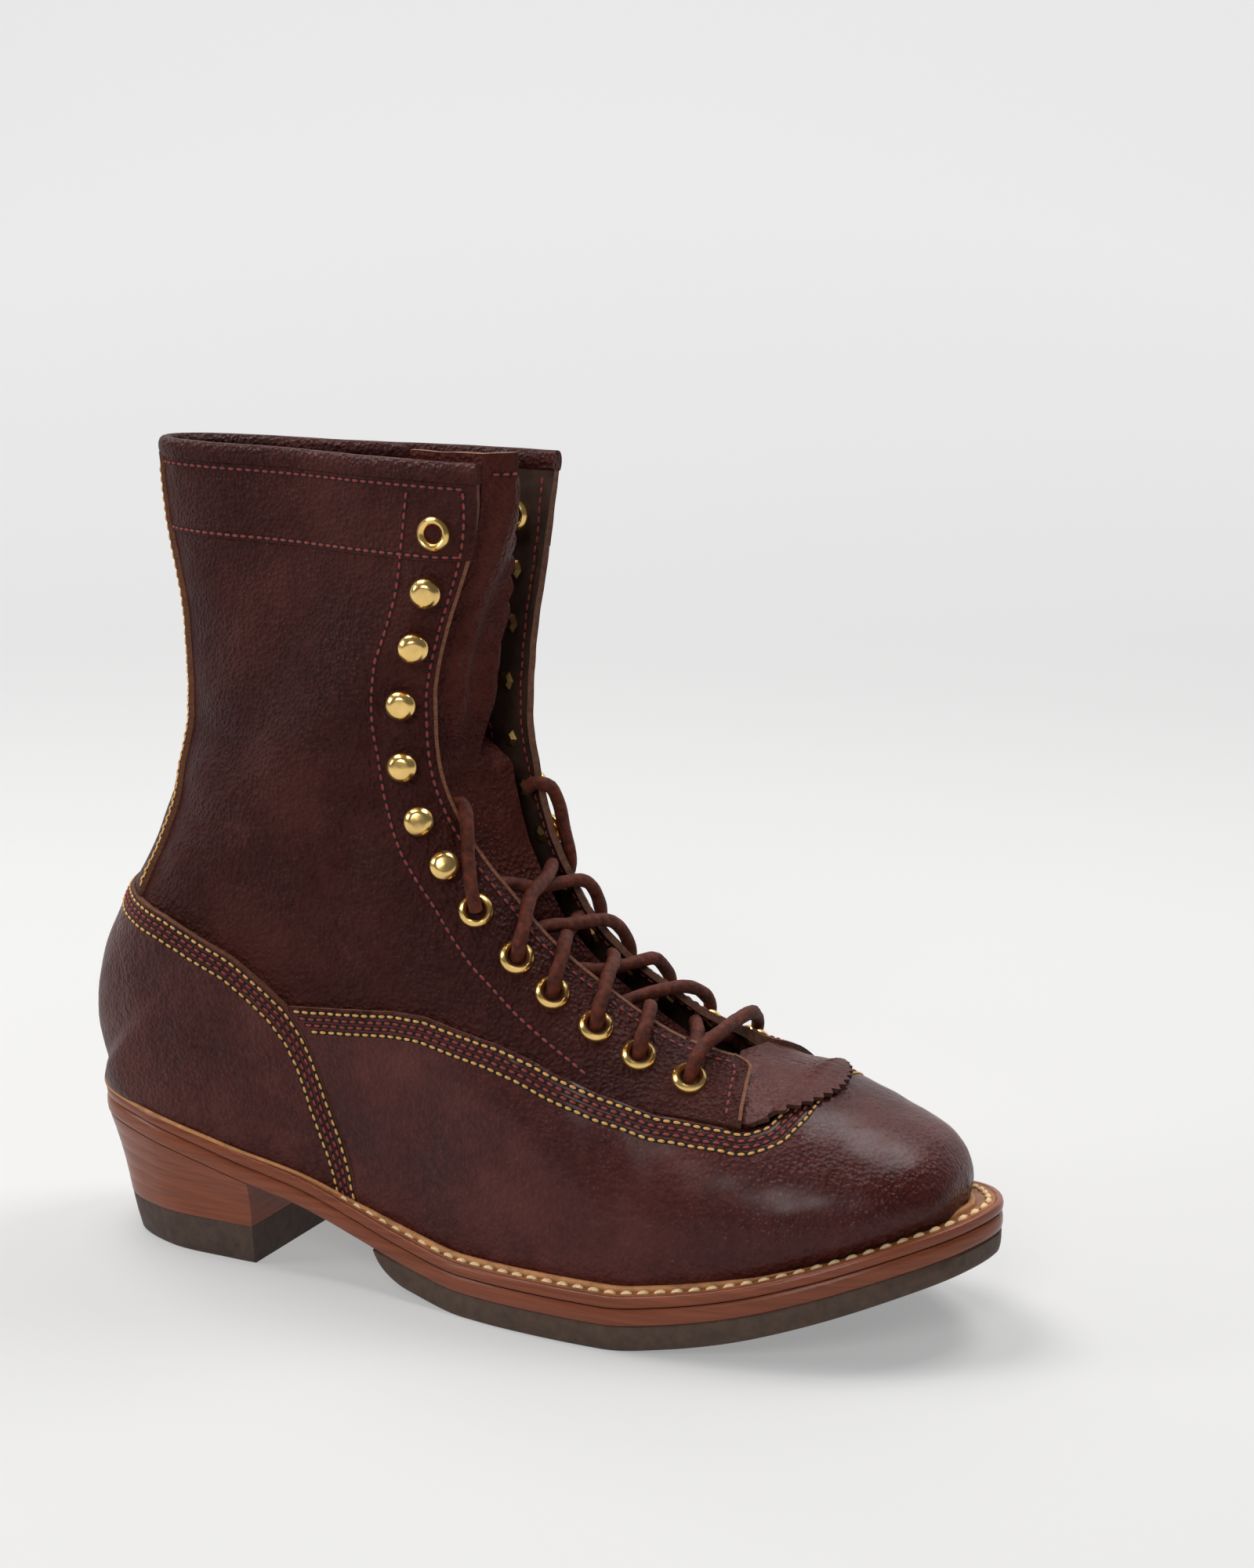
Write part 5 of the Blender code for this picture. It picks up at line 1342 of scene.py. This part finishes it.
def make_lace_ends(skin):
    """The two loose ends, out of the top pair of low eyelets, over the facing's edge and into the boot."""
    for side, word in ((OUTER, "outer"), (INNER, "inner")):
        hole = LOW_EYELETS[-1]
        stops = np.array(route(skin, side, (
            (hole, 1.0, 0.0004), (hole + 0.014, 0.84, 0.0034), (hole + 0.040, 0.44, 0.0036),
            (hole + 0.062, 0.08, 0.0034), (hole + 0.074, -0.16, 0.0012), (hole + 0.081, -0.20, -0.0026),
            (hole + 0.088, 0.06, -WALL - LACE / 2 - 0.0010))))
        along = lengths_along(stops)
        line = smooth(np.linspace(0, along[-1], 24), along, stops)
        curve = bpy.data.curves.new(f"loose_lace_{word}", "CURVE")
        curve.dimensions = "3D"
        curve.bevel_depth = LACE / 2
        curve.bevel_resolution = 3
        curve.use_fill_caps = True
        spline = curve.splines.new("POLY")
        spline.points.add(len(line) - 1)
        for k, place in enumerate(line + SHIFT):
            spline.points[k].co = (*place, 1.0)
        curve.materials.append(RAWHIDE)
        thing = bpy.data.objects.new(f"loose_lace_{word}", curve)
        bpy.context.scene.collection.objects.link(thing)
        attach(thing, "root")
        dress(thing, "lace", f"lace_end_{word}")


# Sole
def ring_of(start, end, inset, count):
    """A closed ring across the sole between two places, with the same number of stations on each side."""
    ring = inset_ring(FINE_RING, inset)
    first, last = max(start, ring[:, 0].min()), min(end, ring[:, 0].max())
    share = (1 - np.cos(math.pi * np.linspace(0, 1, count))) / 2
    x = first + (last - first) * share
    return x, np.stack([side_y(ring, x, s) for s in SIDES], 1)


def slab(name, levels, start, end, surface, slot, replaced, count=150):
    """A layer of the sole from levels of inset, height rule and forward shift rule, bottom first."""
    loops = []
    for inset, height, shift in levels:
        x, y = ring_of(start, end, inset, count)
        sides = [np.column_stack([shift(x), y[:, k], height(x)]) for k in range(2)]
        loops.append(np.vstack([sides[0][::-1], sides[1]]))
    around = 2 * count
    last = (len(levels) - 1) * around
    faces = [face[::-1] for face in grid_faces(len(levels), around, closed_columns=True)]
    for j in range(count - 1):
        faces.append([j, j + 1, around - 2 - j, around - 1 - j])
        faces.append([last + j + 1, last + j, last + around - 1 - j, last + around - 2 - j])
    dress(mesh_object(name, np.vstack(loops), faces, [surface], crisp=50), slot, replaced)


def rubber_bottom(x):
    """Height of the half sole's underside, rounded up at its back end and thinner at the toe."""
    back = np.clip((x - RUBBER_START) / RUBBER_END_ROUND, 0, 1)
    thick = RUBBER * np.sqrt(np.maximum(1 - (1 - back) ** 2, 0.02))
    toe = np.clip((x / SOLE_LENGTH - FLAT_TO) / (1 - FLAT_TO), 0, 1)
    return midsole_bottom(x) - thick + (RUBBER - TOE_RUBBER) * toe**2


def under_midsole(x):
    """Height just below the midsole."""
    return midsole_bottom(x) - 0.0001


def over_midsole_bottom(rise):
    """A height rule above the midsole's underside."""
    return lambda x: midsole_bottom(x) + rise


def between(low, high, share):
    """A height rule between two others."""
    return lambda x: low(x) * (1 - share) + high(x) * share


def level_at(height):
    """A height rule that is the same everywhere."""
    return lambda x: np.full_like(x, height)


def heel_shift(level):
    """How the heel's back leans forward, by its level below the seat."""
    return lambda x: x + HEEL_PITCH * level * (1 - x / HEEL_LENGTH)


def unmoved(x):
    """The same places."""
    return x


# Walls of the layers, bottom first: inset and share of the height in the half sole, inset and height in the
# midsole
HALF_SOLE = ((0.0016, 0.0), (0.0009, 0.08), (0.0006, 0.25), (0.0004, 0.55), (0.0004, 0.90), (0.0010, 1.0))
LEATHER_MIDSOLE = (
    (0.0009, 0.0), (0.0003, 0.0005), (0.0001, 0.0018), (0.0001, 0.0034), (0.0003, 0.0045), (0.0008, 0.0051),
)

# Share of a layer's height with its extra inset, in each leather layer of the heel and in the rubber lift
HEEL_LAYERS = 5
HEEL_LAYER = ((0.02, 0.00012), (0.12, 0.0), (0.5, 0.0), (0.88, 0.0), (0.98, 0.00012))
LIFT_LAYER = ((0.0, 0.0008), (0.06, 0.0002), (0.5, 0.0), (0.94, 0.0001), (1.0, 0.0004))


def make_sole():
    """The rubber half sole, the leather midsole, the stacked heel and its lift."""
    levels = [(inset, between(rubber_bottom, under_midsole, share), unmoved) for inset, share in HALF_SOLE]
    slab("half_sole", levels, RUBBER_START, SOLE_LENGTH, RUBBER_DARK, "rubber", "outsole")
    levels = [(inset, over_midsole_bottom(rise), unmoved) for inset, rise in LEATHER_MIDSOLE]
    slab("leather_midsole", levels, 0.0, SOLE_LENGTH, WAXED, "edge_leather", "midsole")

    lift_level = 1 - HEEL_LIFT / (HEEL_RISE + RUBBER)
    levels = []
    for layer in range(HEEL_LAYERS):
        for share, extra in HEEL_LAYER:
            up = (layer + share) / HEEL_LAYERS
            down = lift_level * (1 - up)
            inset = HEEL_STEP_IN + HEEL_TAPER * down + extra + 0.0006 * math.sin(math.pi * up)
            levels.append((inset, between(level_at(HEEL_LIFT + 0.0001), under_midsole, up), heel_shift(down)))
    slab("stacked_heel", levels, 0.0, HEEL_LENGTH, WAXED, "edge_leather", "heel_stack", 70)
    levels = []
    for share, extra in LIFT_LAYER:
        down = 1 - (1 - lift_level) * share
        inset = HEEL_STEP_IN + HEEL_TAPER * down + extra
        levels.append((inset, level_at(HEEL_LIFT * share), heel_shift(down)))
    slab("rubber_lift", levels, 0.0, HEEL_LENGTH, LIFT_RUBBER, "rubber", "heel_lift", 70)


# The welt's lip, from its lower edge up: distance inside the outline and height over the welt's top. Then the
# groove and the flat: share of the way to the upper and height
WELT_LIP = (
    (0.0010, -0.0035), (0.0002, -0.0030), (0.0000, -0.0016), (0.0003, -0.0004), (0.0009, 0.0),
    (0.0016, 0.0001), (0.0020, -0.0004), (0.0024, 0.0001),
)
WELT_TOP = ((0.11, 0.0), (0.17, -0.0006), (0.24, 0.0), (0.7, 0.0001), (1.0, 0.0))
LIP_WIDTH = 0.0026
GROOVE_AT = 0.17
BEAD_RADIUS = 0.0012


def on_welt(place, rise):
    """Points over the welt's top."""
    return np.column_stack([place, welt_top(place[:, 0]) + rise])


def make_welt():
    """The welt all round with its lip, groove and stitches, and the bead beside the upper; the stitches lie on a
    strip of painted groove shade, and the bead is painted lighter as a highlight.
    """
    count = 480
    outer = sole_outline(count)
    foot = feather_ring(count)
    width = np.linalg.norm(foot - outer, axis=1)
    inward = unit(foot - outer)
    front = ease(outer[:, 0] / SOLE_LENGTH, 0.34, 0.42)
    rings = [on_welt(outer + inward * reach, rise) for reach, rise in WELT_LIP]
    for share, rise in WELT_TOP:
        reach = LIP_WIDTH + (width - LIP_WIDTH) * share
        rings.append(on_welt(outer + inward * reach[:, None], rise * front))
    rings += [on_welt(foot + inward * 0.006, rise) for rise in (-0.0002, -0.0035)]
    points = np.stack(rings, 1)
    columns = len(rings)
    faces = grid_faces(count, columns, closed_rows=True, closed_columns=True)
    kinds = ([1] * 5 + [0] * (columns - 5)) * count
    piece = mesh_object("welt_strip", points.reshape(-1, 3), faces, [WELT_LEATHER, WAXED], kinds, crisp=50)
    dress(piece, "welt_leather", "welt")

    start = np.nonzero(outer[:, 0] > 0.100)[0]
    run = start[np.argsort((start - count // 2) % count)]
    reach = LIP_WIDTH + (width - LIP_WIDTH) * GROOVE_AT
    line = on_welt(outer + inward * reach[:, None], -0.0005)
    line = np.hstack([line, np.tile([0.0, 0.0, 1.0], (count, 1))])
    pile = Pile()
    # Near-black strip under the stitches: painted shade in the stitch groove
    ribbon(pile, [line[run]], 0.0017, 1)
    stitches(pile, [line[run]], WELT_PITCH, WELT_THREAD, 0, sink=0.05)
    dress(pile.build("welt_thread", [CREAM_THREAD, PAINTED_SHADE]), "welt_leather")

    middle = on_welt(foot - inward * (0.0004 + VAMP + BEAD_RADIUS), 0.0003)
    turn = np.arange(10) * 2 * math.pi / 10
    sideways = np.column_stack([inward, np.zeros(count)])
    size = BEAD_RADIUS * (0.55 + 0.45 * front)[:, None]
    bead = (middle[:, None] + sideways[:, None] * (np.cos(turn) * size)[..., None]
            + np.array([0, 0, 1.0]) * (np.sin(turn) * size)[..., None])
    faces = [face[::-1] for face in grid_faces(count, 10, closed_rows=True, closed_columns=True)]
    # The bead's lighter colour is a painted highlight
    piece = mesh_object("welt_bead", bead.reshape(-1, 3), faces, [BEAD_HIGHLIGHT_LEATHER], crisp=60)
    dress(piece, "welt_leather")


set_camera()
SKIN = Skin()
make_lace_ends(SKIN)
make_lace(SKIN)
make_upper(SKIN)
make_collar(SKIN)
make_tongue(SKIN)
make_kiltie(SKIN)
make_hardware(SKIN)
make_sole()
make_welt()
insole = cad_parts["insole"].data.materials
insole.clear()
insole.append(LINING)
set_stage()
